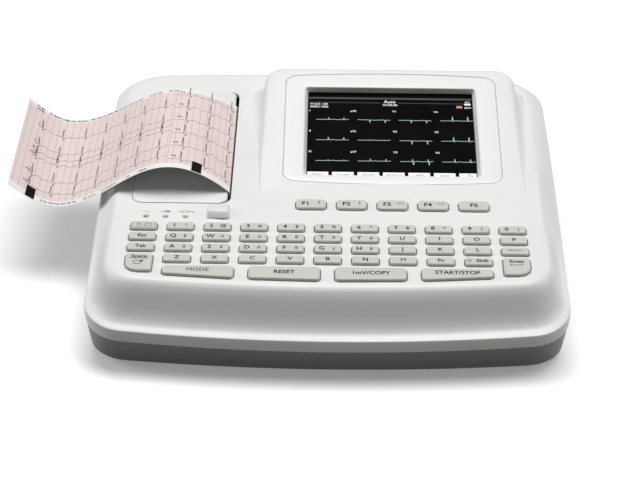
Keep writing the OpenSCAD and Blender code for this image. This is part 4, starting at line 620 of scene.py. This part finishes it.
def corner_key(c):
    """Key two rows deep, with its outer front corner rounded wide."""
    x, rear = col(c), -3 * PITCH_Y + KEY_D / 2
    front = rear - 2 * KEY_D - CORNER_KEY_GAP
    radii = (KEY_R, KEY_R, KEY_R, ROUND_KEY_R) if c == 0 else (ROUND_KEY_R, KEY_R, KEY_R, KEY_R)
    return (x - KEY_W / 2, x + KEY_W / 2, rear, front, front, radii)


def key_outline(k, g, n=7):
    """Outline of a key moved out by g; its front edge may slope."""
    x0, x1, rear, fa, fb, radii = k
    corners = (
        (x1 + g, fb - g, radii[0], -90, 1, -1),
        (x1 + g, rear + g, radii[1], 0, 1, 1),
        (x0 - g, rear + g, radii[2], 90, -1, 1),
        (x0 - g, fa - g, radii[3], 180, -1, -1),
    )
    out = []
    for cx, cy, r, a, sx, sy in corners:
        r = max(r + g, 0.3)
        out += arc(cx - sx * r, cy - sy * r, r, a, a + 90, n)
    return out


def key_cap(p, k):
    """Rubber key: flange under the deck, drafted sides, rounded edge and a barely hollow top."""
    g0, z0 = KEY_SIDE[-1]
    profile = list(KEY_SIDE)
    for i in range(1, KEY_EDGE_STEPS + 1):
        a = deg(90 * i / KEY_EDGE_STEPS)
        profile.append((g0 - KEY_EDGE_W * (1 - math.cos(a)), z0 + KEY_EDGE_H * math.sin(a)))
    profile += KEY_TOP
    rings = [[(x, y, z) for x, y in key_outline(k, g)] for g, z in profile]
    p.rings(rings, "keys", cap_low=True, cap_high=True)


def key_mid(k):
    return (k[0] + k[1]) / 2, (k[2] + (k[3] + k[4]) / 2) / 2


# Height of the legends over the deck, and the width of their thin and bold lines
LEGEND_Z, THIN, BOLD = 1.985, 0.35, 0.45
# Length of an arrow's head, and how its half width and overlap compare with that
ARROW_HEAD, ARROW_HALF, ARROW_LAP = 1.5, 0.42, 0.8


def arrow(p, x, y, length, direction):
    """Flat arrow whose middle is at x, y; direction in degrees."""
    c, s = math.cos(deg(direction)), math.sin(deg(direction))

    def at(u, v):
        return (x + u * c - v * s, y + u * s + v * c)

    tail, neck = at(-length / 2, 0), at(length / 2 - ARROW_HEAD * ARROW_LAP, 0)
    p.stroke([tail, neck], BOLD, LEGEND_Z, "legend")
    back, half = length / 2 - ARROW_HEAD, ARROW_HEAD * ARROW_HALF
    p.plate([at(length / 2, 0), at(back, half), at(back, -half)], LEGEND_Z, "legend")


def outline_ring(p, pts, width, z, material):
    """A flat line of that width along a closed outline."""
    n = len(pts)
    out = []
    for i in range(n):
        out += both_sides(pts[i - 1], pts[i], pts[(i + 1) % n], width, z)
    p.add(out, closed_band(n), material)


def key_piece(name, keys, body, node_name, legends=()):
    p = Piece(name)
    for k in keys:
        key_cap(p, k)
    for draw in legends:
        draw(p)
    p.make(body, 38, replaces=[node_name])


def boldness(text, bold):
    """Outset of the letters; the font's M breaks when it is set bolder."""
    return 0.0 if "M" in text else bold


def word(text, x, y, cap, bold=0.022):
    return lambda p: p.text(text, x, y, cap, LEGEND_Z, "legend", 1.0, boldness(text, bold))


# Legends sit a little behind the middle of their key
LEGEND_Y = 0.1


def pair(c, r, first, second):
    """The first sign of a key, and the smaller second one where it has two."""
    y = -r * PITCH_Y + LEGEND_Y
    if second is None:
        return [word(first, col(c), y, 3.6)]
    return [word(first, col(c) - 3.9, y, 3.7), word(second, col(c) + 3.8, y, 3.1, 0.012)]


ROWS = [
    ["1!", "2@", "3#", "4$", "5%", "6^", "7&", "8*", "9(", "0)"],
    ["Qå", "Wö", "Eü", "Rß", "Tñ", "Yø", "U", "I", "O", "P"],
    ["Aé", "Sá", "Dó", "Fô", "Gç", "Hã", "J", "K", "L"],
    ["Z", "X", "C", "V", "B", "N", "M"],
]
for r, kind in enumerate(("number", "upper_letter", "middle_letter", "lower_letter")):
    marks = []
    for i, two in enumerate(ROWS[r]):
        marks += pair(i + 1, r, two[0], two[1] if len(two) > 1 else None)
    row = [plain_key(c + 1, r) for c in range(len(ROWS[r]))]
    key_piece(f"keys_{kind}s", row, f"key_{kind}s", f"{kind}_keys", marks)


def power_marks(p):
    k = plain_key(0, 0)
    outline_ring(p, key_outline(k, -1.45), THIN, LEGEND_Z, "green_line")
    x, y = key_mid(k)
    outline_ring(p, arc(x - 3.2, y, 1.45, 0, 330, 11), 0.4, LEGEND_Z, "green_line")
    p.stroke([(x - 3.2, y + 0.3), (x - 3.2, y + 1.9)], 0.4, LEGEND_Z, "green_line")
    outline_ring(p, rounded(x + 2.9, y, 4.4, 2.5, 0.9, 3), 0.4, LEGEND_Z, "green_line")


def space_marks(p):
    x = col(0)
    p.text("Space", x + 0.2, -34.6, 3.3, LEGEND_Z, "legend", 1.0, 0.02)
    p.stroke([(x - 6.0, -37.0), (x + 6.3, -37.0)], THIN, LEGEND_Z, "legend")
    outline_ring(p, rounded(x - 0.6, -41.2, 5.0, 3.4, 1.5, 4), BOLD, LEGEND_Z, "legend")
    p.plate([(x + 1.2, -39.0), (x + 1.2, -41.2), (x + 3.8, -39.7)], LEGEND_Z + 0.01, "legend")


def enter_marks(p):
    x = col(10)
    p.text("Enter", x, -35.2, 3.2, LEGEND_Z, "legend", 1.0, 0.02)
    arrow(p, x - 0.6, -39.2, 8.6, 180)
    p.stroke([(x + 3.7, -39.2), (x + 3.7, -37.6)], BOLD, LEGEND_Z, "legend")


def shift_marks(p):
    x, y = col(9), -3 * PITCH_Y + LEGEND_Y
    p.text("Shift", x + 2.2, y, 3.2, LEGEND_Z, "legend", 1.0, 0.02)
    shaft = [(x - 6.6, y - 0.1), (x - 6.6, y - 1.5), (x - 5.2, y - 1.5), (x - 5.2, y - 0.1)]
    tip = [(x - 5.9, y + 1.6), (x - 7.5, y - 0.1)] + shaft + [(x - 4.3, y - 0.1)]
    outline_ring(p, tip, THIN, LEGEND_Z, "legend")


def backspace_marks(p):
    arrow(p, col(10), -2 * PITCH_Y, 9.5, 180)


def single_key(name, key, *marks):
    """A key that moves by itself; its piece and its body have one name."""
    key_piece(f"key_{name}", [key], f"key_{name}", f"{name}_key", marks)


single_key("power", plain_key(0, 0), power_marks)
single_key("esc", plain_key(0, 1), word("Esc", col(0), -PITCH_Y + LEGEND_Y, 3.3))
single_key("tab", plain_key(0, 2), word("Tab", col(0), -2 * PITCH_Y + LEGEND_Y, 3.3))
single_key("space", corner_key(0), space_marks)
single_key("enter", corner_key(10), enter_marks)
single_key("backspace", plain_key(10, 2), backspace_marks)
single_key("shift", plain_key(9, 3), shift_marks)
single_key("fn", plain_key(8, 3), word("Fn", col(8), -3 * PITCH_Y + LEGEND_Y, 3.3))
BIG = {"mode": "MODE", "reset": "RESET", "copy": "1mV/COPY", "start_stop": "START/STOP"}
for i, (name, legend) in enumerate(BIG.items()):
    k = big_key(i)
    x, y = key_mid(k)
    single_key(name, k, word(legend, x, y + 0.6, 3.7))
# Which way the arrow on each of F1 to F4 points, and its length
F_ARROWS = ((90, 3.4), (-90, 3.4), (180, 5.2), (0, 5.2))
for i in range(5):
    k = f_key(i)
    x, y = key_mid(k)
    marks = [word(f"F{i + 1}", x if i == 4 else x - 3.6, y, 4.1)]
    if i < 4:
        way, length = F_ARROWS[i]
        marks.append(lambda p, x=x, y=y, n=length, way=way: arrow(p, x + 5.2, y + 1.1, n, way))
    single_key(f"f{i + 1}", k, *marks)

# ---------------------------------------------------------------- bezel and screen
# All in the hump's frame. The bezel bows by REAR_BOW and FRONT_BOW from its middle to its corners
BEZEL_X, BEZEL_Y, BEZEL_W, BEZEL_D, BEZEL_R = 0.4, 67.3, 148.4, 114.8, 8
REAR_BOW, FRONT_BOW = 3.2, 3.0
BEZEL_EDGE = 0.55
# Heights of the seat in the cover's recess and of the bezel's lower edge, and how far its skirt is set in
SEAT_Z, BEZEL_LOW, SKIRT = -1.5, -4.9, 3.8
# Window at its lower edge, how far its sides and front slope outwards, and its rounded upper edge
WINDOW_X, WINDOW_SIDE, WINDOW_REAR, WINDOW_FRONT = 0.2, 58.3, 109.7, 21.9
SIDE_SLOPE, FRONT_SLOPE, WINDOW_EDGE = 2.0, 3.4, 1.0
# Outer outline of the surround, which covers the recess, and its seam to the bezel
SURROUND_Y, SURROUND_W, SURROUND_D, SURROUND_R = 67.9, 150.9, 117.7, 9.25
SURROUND_TOP, SEAM = 0.04, 0.35
SIDE_STEPS = 24


def bezel_outline(w, h, r, n=8):
    """Rounded rectangle around the origin, with points along its sides as well."""
    half = SIDE_STEPS / 2
    pts = []
    for k, (sx, sy, a) in enumerate(CORNERS):
        pts += arc(sx * (w / 2 - r), sy * (h / 2 - r), r, a, a + 90, n)
        if k in (1, 3):
            pts += [(sx * (w / 2 - r) * (1 - i / half), sy * h / 2) for i in range(1, SIDE_STEPS)]
        else:
            pts += [(w / 2 * sx, sy * (h / 2 - r) * (1 - i / half)) for i in range(1, SIDE_STEPS)]
    return pts


def bezel_ring(inset, z):
    """The bezel's outline moved in by inset, with bowed front and rear edges."""
    w, h = BEZEL_W - 2 * inset, BEZEL_D - 2 * inset
    out = []
    for x, y in bezel_outline(w, h, BEZEL_R - inset):
        u = 2 * x / BEZEL_W
        bow = REAR_BOW if y > 0 else FRONT_BOW
        out.append((BEZEL_X + x, BEZEL_Y + y * (1 - bow * u * u / (h / 2)), z))
    return out


def window_ring(side, rear, front, r, z, n=8):
    """The window's outline at a height, with its left and right, rear and front edges."""
    pts = []
    places = ((side, front), (side, rear), (-side, rear), (-side, front))
    steps = range(1, SIDE_STEPS)
    for k, ((x, y), (sx, sy, a)) in enumerate(zip(places, CORNERS)):
        pts += arc(x - sx * r, y - sy * r, r, a, a + 90, n)
        if k in (1, 3):
            pts += [(sx * (side - r) * (1 - i / (SIDE_STEPS / 2)), y) for i in steps]
        else:
            lo, hi = front + r, rear - r
            t = [i / SIDE_STEPS if k == 0 else 1 - i / SIDE_STEPS for i in steps]
            pts += [(x, lo + (hi - lo) * q) for q in t]
    return [(WINDOW_X + x, y, z) for x, y in pts]


def bezel():
    p = Piece("bezel_frame", HUMP)
    rings = [bezel_ring(SKIRT, BEZEL_LOW), bezel_ring(SKIRT, SEAT_Z), bezel_ring(0, SEAT_Z)]
    for i in range(4):
        a = deg(90 * i / 3)
        inset, z = BEZEL_EDGE * (1 - math.cos(a)), -BEZEL_EDGE + BEZEL_EDGE * math.sin(a)
        rings.append(bezel_ring(inset, z))
    for i in range(6):
        a = deg(90 * i / 5)
        out, z = WINDOW_EDGE * (1 - math.sin(a)), -WINDOW_EDGE + WINDOW_EDGE * math.cos(a)
        side = WINDOW_SIDE + SIDE_SLOPE * (z - BEZEL_LOW) / -BEZEL_LOW + out
        front = WINDOW_FRONT - FRONT_SLOPE * (z - BEZEL_LOW) / -BEZEL_LOW - out
        rings.append(window_ring(side, WINDOW_REAR + out * 0.7, front, 2.4 + out, z))
    rings.append(window_ring(WINDOW_SIDE, WINDOW_REAR, WINDOW_FRONT, 1.4, BEZEL_LOW))
    p.rings(rings, "bezel", close=True)
    p.make("housing", 40, replaces=["screen_bezel"])


bezel()


def bezel_surround():
    """Housing between the straight recess of the cover and the bowed bezel, with one thin seam."""
    outer = bezel_outline(SURROUND_W, SURROUND_D, SURROUND_R)
    p = Piece("bezel_surround", HUMP)
    rings = [[(BEZEL_X + x, SURROUND_Y + y, z) for x, y in outer] for z in (-0.02, SURROUND_TOP)]
    rings += [bezel_ring(-SEAM - 0.15, SURROUND_TOP), bezel_ring(-SEAM, -0.1), bezel_ring(-SEAM, -1.4)]
    p.rings(rings, "housing")
    p.make("housing", 40)


bezel_surround()


# The screen's picture: its height in the hump's frame, size, middle, and black edge past the lit area
SCREEN_Z, SCREEN_W, SCREEN_D, SCREEN_Y, SCREEN_EDGE = -5.57, 115.2, 86.4, 65.8, 0.4
# Traces, as shares of the screen: the first one's left end and height, and the steps to the next ones
TRACE_U, TRACE_COLUMN, TRACE_LONG = 0.047, 0.2517, 0.198
TRACE_V, TRACE_LINE, NAME_V = 0.679, 0.2465, 0.108
TRACE_STEPS = 150
LEADS = [["I", "II", "III"], ["aVR", "aVL", "aVF"], ["V1", "V2", "V3"], ["V4", "V5", "V6"]]
# Height in mm of each trace's beats
SPIKES = [[2.3, 3.0, 1.1], [-3.0, 0.6, 2.3], [-2.8, -4.0, 2.6], [5.0, 4.8, 3.2]]
TABS = ("Patient", "Preview", "25mm/s", "10mm/mV", "100Hz", "Setup", "File")
TAB_PITCH, TAB_W, TAB_LOW, TAB_HIGH = 0.1505, 0.128, 0.006, 0.056


def bump_at(q, width):
    return math.exp(-(q / width) ** 2)


def screen_beats(t, c, r):
    """Height of the trace in column c and line r, at share t of its length."""
    tall = SPIKES[c][r]
    d = 0.0
    for beat in (0.38, 0.85):
        q = (t - beat) * 60
        d += tall * bump_at(q, 0.55)
        if (c, r) == (2, 2):
            d -= 3.6 * bump_at(q - 1.4, 0.6)
        elif tall > 3:
            d -= 0.7 * bump_at(q - 1.5, 0.55)
        d += 0.35 * math.copysign(1, tall) * bump_at(q - 9, 3.0)
        d += 0.2 * bump_at(q + 6, 1.6)
    if (c, r) == (1, 0):
        d += 1.0 * max(0, 0.3 - t)
    return d


def screen():
    """Lit screen: header, twelve traces with their lead names, and a row of tabs."""
    p = Piece("screen_image", HUMP)
    w, h, e = SCREEN_W, SCREEN_D, SCREEN_EDGE
    x0, y0 = WINDOW_X - w / 2, SCREEN_Y - h / 2
    z = SCREEN_Z
    corners = [(x0 - e, y0 - e), (x0 + w + e, y0 - e), (x0 + w + e, y0 + h + e), (x0 - e, y0 + h + e)]
    p.plate(corners, z, "glass")

    def at(u, v):
        return x0 + u * w, y0 + v * h

    def rect(u0, v0, u1, v1, material, dz=0.02):
        a, b = at(u0, v0), at(u1, v1)
        p.plate([(a[0], a[1]), (b[0], a[1]), (b[0], b[1]), (a[0], b[1])], z + dz, material)

    def words(text, u, v, cap, material="screen_white", align="CENTER", bold=0.006):
        x, y = at(u, v)
        p.text(text, x, y, cap, z + 0.05, material, 1.0, boldness(text, bold), align)

    rect(0.0, 0.948, 1.0, 0.956, "screen_dim")
    rect(0.0, 0.936, 1.0, 0.948, "screen_grey", 0.01)
    rect(0.0, 0.888, 0.44, 0.894, "screen_dim")
    rect(0.55, 0.888, 0.955, 0.894, "screen_dim")
    words("Auto", 0.497, 0.908, 3.0)
    words("10:20:36", 0.497, 0.868, 2.3)
    words("M 035 180", 0.008, 0.872, 2.1, align="LEFT")
    words("000011086", 0.008, 0.838, 2.1, align="LEFT")
    words("AC", 0.975, 0.912, 2.0)
    rect(0.955, 0.874, 0.993, 0.894, "screen_white")
    words("BPM", 0.975, 0.842, 1.9)
    rect(0.904, 0.832, 0.943, 0.868, "screen_red")
    words("072", 0.9235, 0.850, 1.8)
    for c in range(4):
        for r in range(3):
            u0, v = TRACE_U + TRACE_COLUMN * c, TRACE_V - TRACE_LINE * r
            if c:
                words(LEADS[c][r], u0 - 0.026, v + NAME_V, 2.0)
            else:
                words(LEADS[c][r], 0.004, v + NAME_V, 2.0, align="LEFT")
            (xa, y), (xb, _) = at(u0, v), at(u0 + TRACE_LONG, v)
            shares = [i / TRACE_STEPS for i in range(TRACE_STEPS + 1)]
            line = [(xa + (xb - xa) * t, y + screen_beats(t, c, r)) for t in shares]
            p.stroke(line, 0.45, z + 0.04, "screen_trace")
    for i, name in enumerate(TABS):
        u = -0.004 + i * TAB_PITCH
        rect(max(u, 0.0), TAB_LOW, min(u + TAB_W, 1.0), TAB_HIGH, "screen_white")
        x, y = at(u + TAB_W / 2, (TAB_LOW + TAB_HIGH) / 2)
        p.text(name, x, y, 2.0, z + 0.05, "screen_ink", 1.0, 0.0)
    p.make("housing", 40)


screen()

# ---------------------------------------------------------------- chart strip
# All in the deck's frame: the platen's axis with the paper's radius round it, and the strip's front edge
PLATEN_X, PLATEN_Z, WRAP = -72.6, -9.0, 6.25
STRIP_Y = 40.5
# The strip leaves the slot, rises to its crest, falls to its dip and rises to its tip
EXIT_X = PLATEN_X + WRAP
CREST_X, DIP_X, DIP_Z, TIP_X, TIP_Z = -106.0, -183.0, -13.0, -214.5, 5.4
FRONT_CREST, REAR_CREST = 20.0, 14.2
THICK = 0.2
# Steps round the platen, up to the crest, down to the dip and up to the tip
WRAP_STEPS, RISE_STEPS, FALL_STEPS, TIP_STEPS = 16, 36, 48, 24


def strip_height(x, crest):
    """Height of the strip along one of its edges, whose crest is that high."""
    if x > CREST_X:
        return crest * math.sin(deg(90 * (EXIT_X - x) / (EXIT_X - CREST_X))) ** 0.85
    if x > DIP_X:
        fall = math.cos(deg(180 * (CREST_X - x) / (CREST_X - DIP_X)))
        return (crest + DIP_Z) / 2 + (crest - DIP_Z) / 2 * fall
    return DIP_Z + (TIP_Z - DIP_Z) * (1 - math.cos(deg(90 * (DIP_X - x) / (DIP_X - TIP_X))))


def strip_path(crest):
    """Points of one edge, from under the platen to the strip's tip."""
    pts = []
    for i in range(WRAP_STEPS + 1):
        a = deg(-120.0 * (1 - i / WRAP_STEPS))
        pts.append((PLATEN_X + WRAP * math.cos(a), PLATEN_Z + WRAP * math.sin(a)))
    for i in range(RISE_STEPS + 1):
        x = EXIT_X + (CREST_X - EXIT_X) * (i / RISE_STEPS) ** 1.6
        pts.append((x, -1.0 if i == 0 else strip_height(x, crest)))
    for a, b, n in ((CREST_X, DIP_X, FALL_STEPS), (DIP_X, TIP_X, TIP_STEPS)):
        for i in range(1, n + 1):
            x = a + (b - a) * i / n
            pts.append((x, strip_height(x, crest)))
    return pts


FRONT, REAR = strip_path(FRONT_CREST), strip_path(REAR_CREST)
# How far along the sheet each point lies, halfway between its edges
ALONG = [0.0]
for i in range(1, len(FRONT)):
    a = math.dist(FRONT[i], FRONT[i - 1])
    b = math.dist(REAR[i], REAR[i - 1])
    ALONG.append(ALONG[-1] + (a + b) / 2)
SLOT_U = ALONG[WRAP_STEPS + 1]
TOTAL_U = ALONG[-1]


def on_strip(u, v, h):
    """Point over the strip's printed face: u mm from the platen end, v mm from the front edge, h above."""
    u = min(max(u, 0.0), TOTAL_U)
    lo, hi = 0, len(ALONG) - 1
    while hi - lo > 1:
        k = (lo + hi) // 2
        if ALONG[k] > u:
            hi = k
        else:
            lo = k
    t = (u - ALONG[lo]) / (ALONG[hi] - ALONG[lo])
    s = v / STRIP_W

    def mid(i):
        return (FRONT[i][0] * (1 - s) + REAR[i][0] * s, FRONT[i][1] * (1 - s) + REAR[i][1] * s)

    a, b = mid(lo), mid(hi)
    n0, n1 = normal_at(lo, s), normal_at(hi, s)
    nx, nz = n0[0] * (1 - t) + n1[0] * t, n0[1] * (1 - t) + n1[1] * t
    length = math.hypot(nx, nz) or 1
    lift = THICK + h
    x = a[0] + (b[0] - a[0]) * t + nx / length * lift
    return (x, STRIP_Y + v, a[1] + (b[1] - a[1]) * t + nz / length * lift)


def normal_at(i, s):
    """Way up from the sheet at its point i, at share s of its width."""
    i0, i1 = max(i - 1, 0), min(i + 1, len(FRONT) - 1)
    dx = (FRONT[i1][0] - FRONT[i0][0]) * (1 - s) + (REAR[i1][0] - REAR[i0][0]) * s
    dz = (FRONT[i1][1] - FRONT[i0][1]) * (1 - s) + (REAR[i1][1] - REAR[i0][1]) * s
    length = math.hypot(dx, dz) or 1
    return dz / length, -dx / length


def strip():
    """The paper itself: printed face, back and cut edges."""
    p = Piece("chart_strip")
    n = len(FRONT)
    across = [0.0, 1.2, 3.4, 30.0, 55.0, 80.0, 107.0, 109.0, STRIP_W]
    for low, material in ((False, "paper"), (True, "paper_back")):
        verts, uvs, faces = [], [], []
        m = len(across)
        for i in range(n):
            for v in across:
                h = -THICK if low else 0.0
                verts.append(on_strip(ALONG[i], v, h))
                uvs.append((ALONG[i], v))
        for i in range(n - 1):
            for j in range(m - 1):
                q = [i * m + j, i * m + j + 1, (i + 1) * m + j + 1, (i + 1) * m + j]
                faces.append(q if low else q[::-1])
        p.add(verts, faces, material, uvs)
    edge = []
    loop = [(i, 0) for i in range(n)] + [(n - 1, STRIP_W * j / 4) for j in range(1, 5)]
    loop += [(i, STRIP_W) for i in range(n - 2, -1, -1)] + [(0, STRIP_W * j / 4) for j in range(3, 0, -1)]
    for i, v in loop:
        edge += [on_strip(ALONG[i], v, 0), on_strip(ALONG[i], v, -THICK)]
    p.add(edge, closed_band(len(loop)), "paper_back")
    p.make("paper_strip", 50, replaces=["chart_paper"])


strip()


# The print, in mm along the strip and across it. It has two blocks of six traces, one on each side of BLOCK_U
BEAT, FIRST_BEAT, BLOCK_U, PRINT_END = 16.2, 75.6, 68.3, TOTAL_U - 11.0
RIGHT_ROWS, LEFT_ROWS = (101, 83, 65, 47, 29, 11), (85, 63.6, 55.2, 48.3, 27.2, 13.6)
RIGHT_TALL, LEFT_TALL = (12, 13, 14, 13, 13, 12), (12, 10, 7, 10, 13, 11)
TRACE_WIDE, MARK_WIDE = 0.34, 0.3
INDEX_U, INDEX_LONG, INDEX_FRONT, INDEX_REAR, INDEX_PARTS = (48.1, TOTAL_U - 17.5), 7.0, 0.6, 12.8, 8
# Words in the margins, each with its place along and across
MARGIN_TEXTS = (
    ("ID 86", 177.0, 108.0), ("ID 000011086 HR 78 bpm", 155.0, 108.0), ("PR 152 ms QRS 88 ms", 125.5, 108.0),
    ("QT 372 ms AC", 103.5, 108.0), ("0.15-150", 84.5, 107.8), ("25 mm", 70.5, 107.8),
    ("10:20", 177.0, 105.0), ("0.15-150 Hz AC 50 Hz", 149.5, 3.2), ("25 mm/s", 127.0, 3.2),
    ("10 mm/mV", 112.0, 3.2), ("12", 96.3, 3.0), ("leads", 84.5, 3.0),
)


def printed_trace(v, row, tall, u0, u1):
    """One trace on the line v, with beats that tall and a slow drift."""
    line = []
    u = u0
    while u < u1:
        q = ((u - FIRST_BEAT) / BEAT + 0.5) % 1.0 * BEAT - BEAT / 2
        d = 0.9 * bump_at(q - 3.2, 1.0)
        d += 1.7 * bump_at(q + 5.2, 1.6)
        d += tall * bump_at(q, 0.36) - 0.3 * tall * bump_at(q + 0.8, 0.36)
        d += 0.35 * math.sin(u * 0.23 + row) + 0.15 * math.sin(u * 1.7 + row * 2)
        line.append((u, v + d))
        u += 0.2 if abs(q) < 1.6 else 0.9
    return line


def strip_print():
    """Twelve traces, lead names, margin text and index marks, lying on the strip."""
    p = Piece("chart_print")
    right = (RIGHT_ROWS, RIGHT_TALL, SLOT_U - 14.0, BLOCK_U)
    left = (LEFT_ROWS, LEFT_TALL, BLOCK_U + 1.2, PRINT_END)
    for rows, tall, u0, u1 in (right, left):
        for row, v in enumerate(rows):
            p.stroke(printed_trace(v, row, tall[row], u0, u1), TRACE_WIDE, 0.02, "trace")
    for k, name in enumerate(("V1", "V2", "V3", "V4", "V5", "V6")):
        p.text(name, BLOCK_U - 4.0, RIGHT_ROWS[k] + 4.6, 2.3, 0.03, "print", -1.0, 0.02)
    # Dashed line where the blocks meet
    v = 6.0
    while v < 106:
        p.stroke([(BLOCK_U, v), (BLOCK_U, v + 1.2)], MARK_WIDE, 0.02, "trace")
        v += 2.4
    # Lead names with the calibration step before each trace
    for k, name in enumerate(("I", "II", "III", "aVR", "aVL", "aVF")):
        p.text(name, PRINT_END - 1.0, LEFT_ROWS[k] + 3.4, 2.2, 0.03, "print", -1.0, 0.02)
        low, high = LEFT_ROWS[k], LEFT_ROWS[k] + 6
        step = [(PRINT_END - 4.5, low), (PRINT_END - 4.5, high), (PRINT_END - 2.0, high)]
        p.stroke(step, MARK_WIDE, 0.02, "trace")
    for text, u, v in MARGIN_TEXTS:
        p.text(text, u, v, 2.0, 0.03, "print", -1.0, boldness(text, 0.03))
    # Each mark is cut into parts, so that it follows the paper's curve
    for u in INDEX_U:
        for n in range(INDEX_PARTS):
            a = u - INDEX_LONG / 2 + INDEX_LONG * n / INDEX_PARTS
            b = u - INDEX_LONG / 2 + INDEX_LONG * (n + 1) / INDEX_PARTS
            corners = [(a, INDEX_REAR), (b, INDEX_REAR), (b, INDEX_FRONT), (a, INDEX_FRONT)]
            p.plate(corners, 0.06, "mark")
    p.make("paper_strip", 60, bend=lambda q: on_strip(*q))


strip_print()


# ---------------------------------------------------------------- small marks on the deck
def deck_marks():
    """Signs over the three lamps."""
    p = Piece("lamp_icons")
    z = 0.03
    pts = [(-120.6 + 4.2 * i / 16 - 1.3, 17.9 + 0.55 * math.sin(deg(360 * i / 16))) for i in range(17)]
    p.stroke(pts, 0.35, z, "icon")
    x, y = -107.3, 18.0
    outline_ring(p, rounded(x + 1.1, y, 4.2, 1.9, 0.5, 2), 0.35, z, "icon")
    p.plate(rounded(x + 1.5, y, 2.6, 0.9, 0.3, 2), z, "icon")
    p.stroke([(x - 3.2, y), (x - 1.2, y)], 0.4, z, "icon")
    x = -94.0
    outline_ring(p, rounded(x, y, 4.6, 2.1, 0.5, 2), 0.35, z, "icon")
    p.stroke([(x - 5.0, y), (x - 2.4, y)], 0.4, z, "icon")
    p.stroke([(x + 2.4, y), (x + 5.0, y)], 0.4, z, "icon")
    p.stroke([(x + 5.0, y - 1.0), (x + 5.0, y + 1.0)], 0.4, z, "icon")
    p.make("housing", 60)


deck_marks()


def lamp():
    """Domed lens of the lamp that is lit."""
    p = Piece("lamp_lens")
    x, y, r = -119.8, 12.5, 1.53
    dome = ((1, -2.0), (1, -0.1), (0.96, 0.25), (0.8, 0.62), (0.5, 0.9), (0.15, 1.02))
    turns = [deg(a) for a in range(0, 360, 12)]
    rings = []
    for share, z in dome:
        rings.append([(x + r * share * math.cos(a), y + r * share * math.sin(a), z) for a in turns])
    p.rings(rings, "lens_on", cap_low=True, cap_high=True)
    p.make("housing", 60)


lamp()


# ---------------------------------------------------------------- floor
def floor():
    """Plain pale floor."""
    mesh = bpy.data.meshes.new("floor")
    s = 4.0
    mesh.from_pydata([(-s, -s, 0), (s, -s, 0), (s, s, 0), (-s, s, 0)], [], [[0, 1, 2, 3]])
    m, tree, b = principled("floor_paper", (0.96, 0.96, 0.96), 0.85)
    mottle(tree, b, (0.955, 0.955, 0.955), 0.004, 400.0)
    b.inputs["Emission Color"].default_value = (1, 1, 1, 1)
    b.inputs["Emission Strength"].default_value = 0.22
    mesh.materials.append(m)
    o = bpy.data.objects.new("floor", mesh)
    scene.collection.objects.link(o)
    o.visible_diffuse = False


floor()
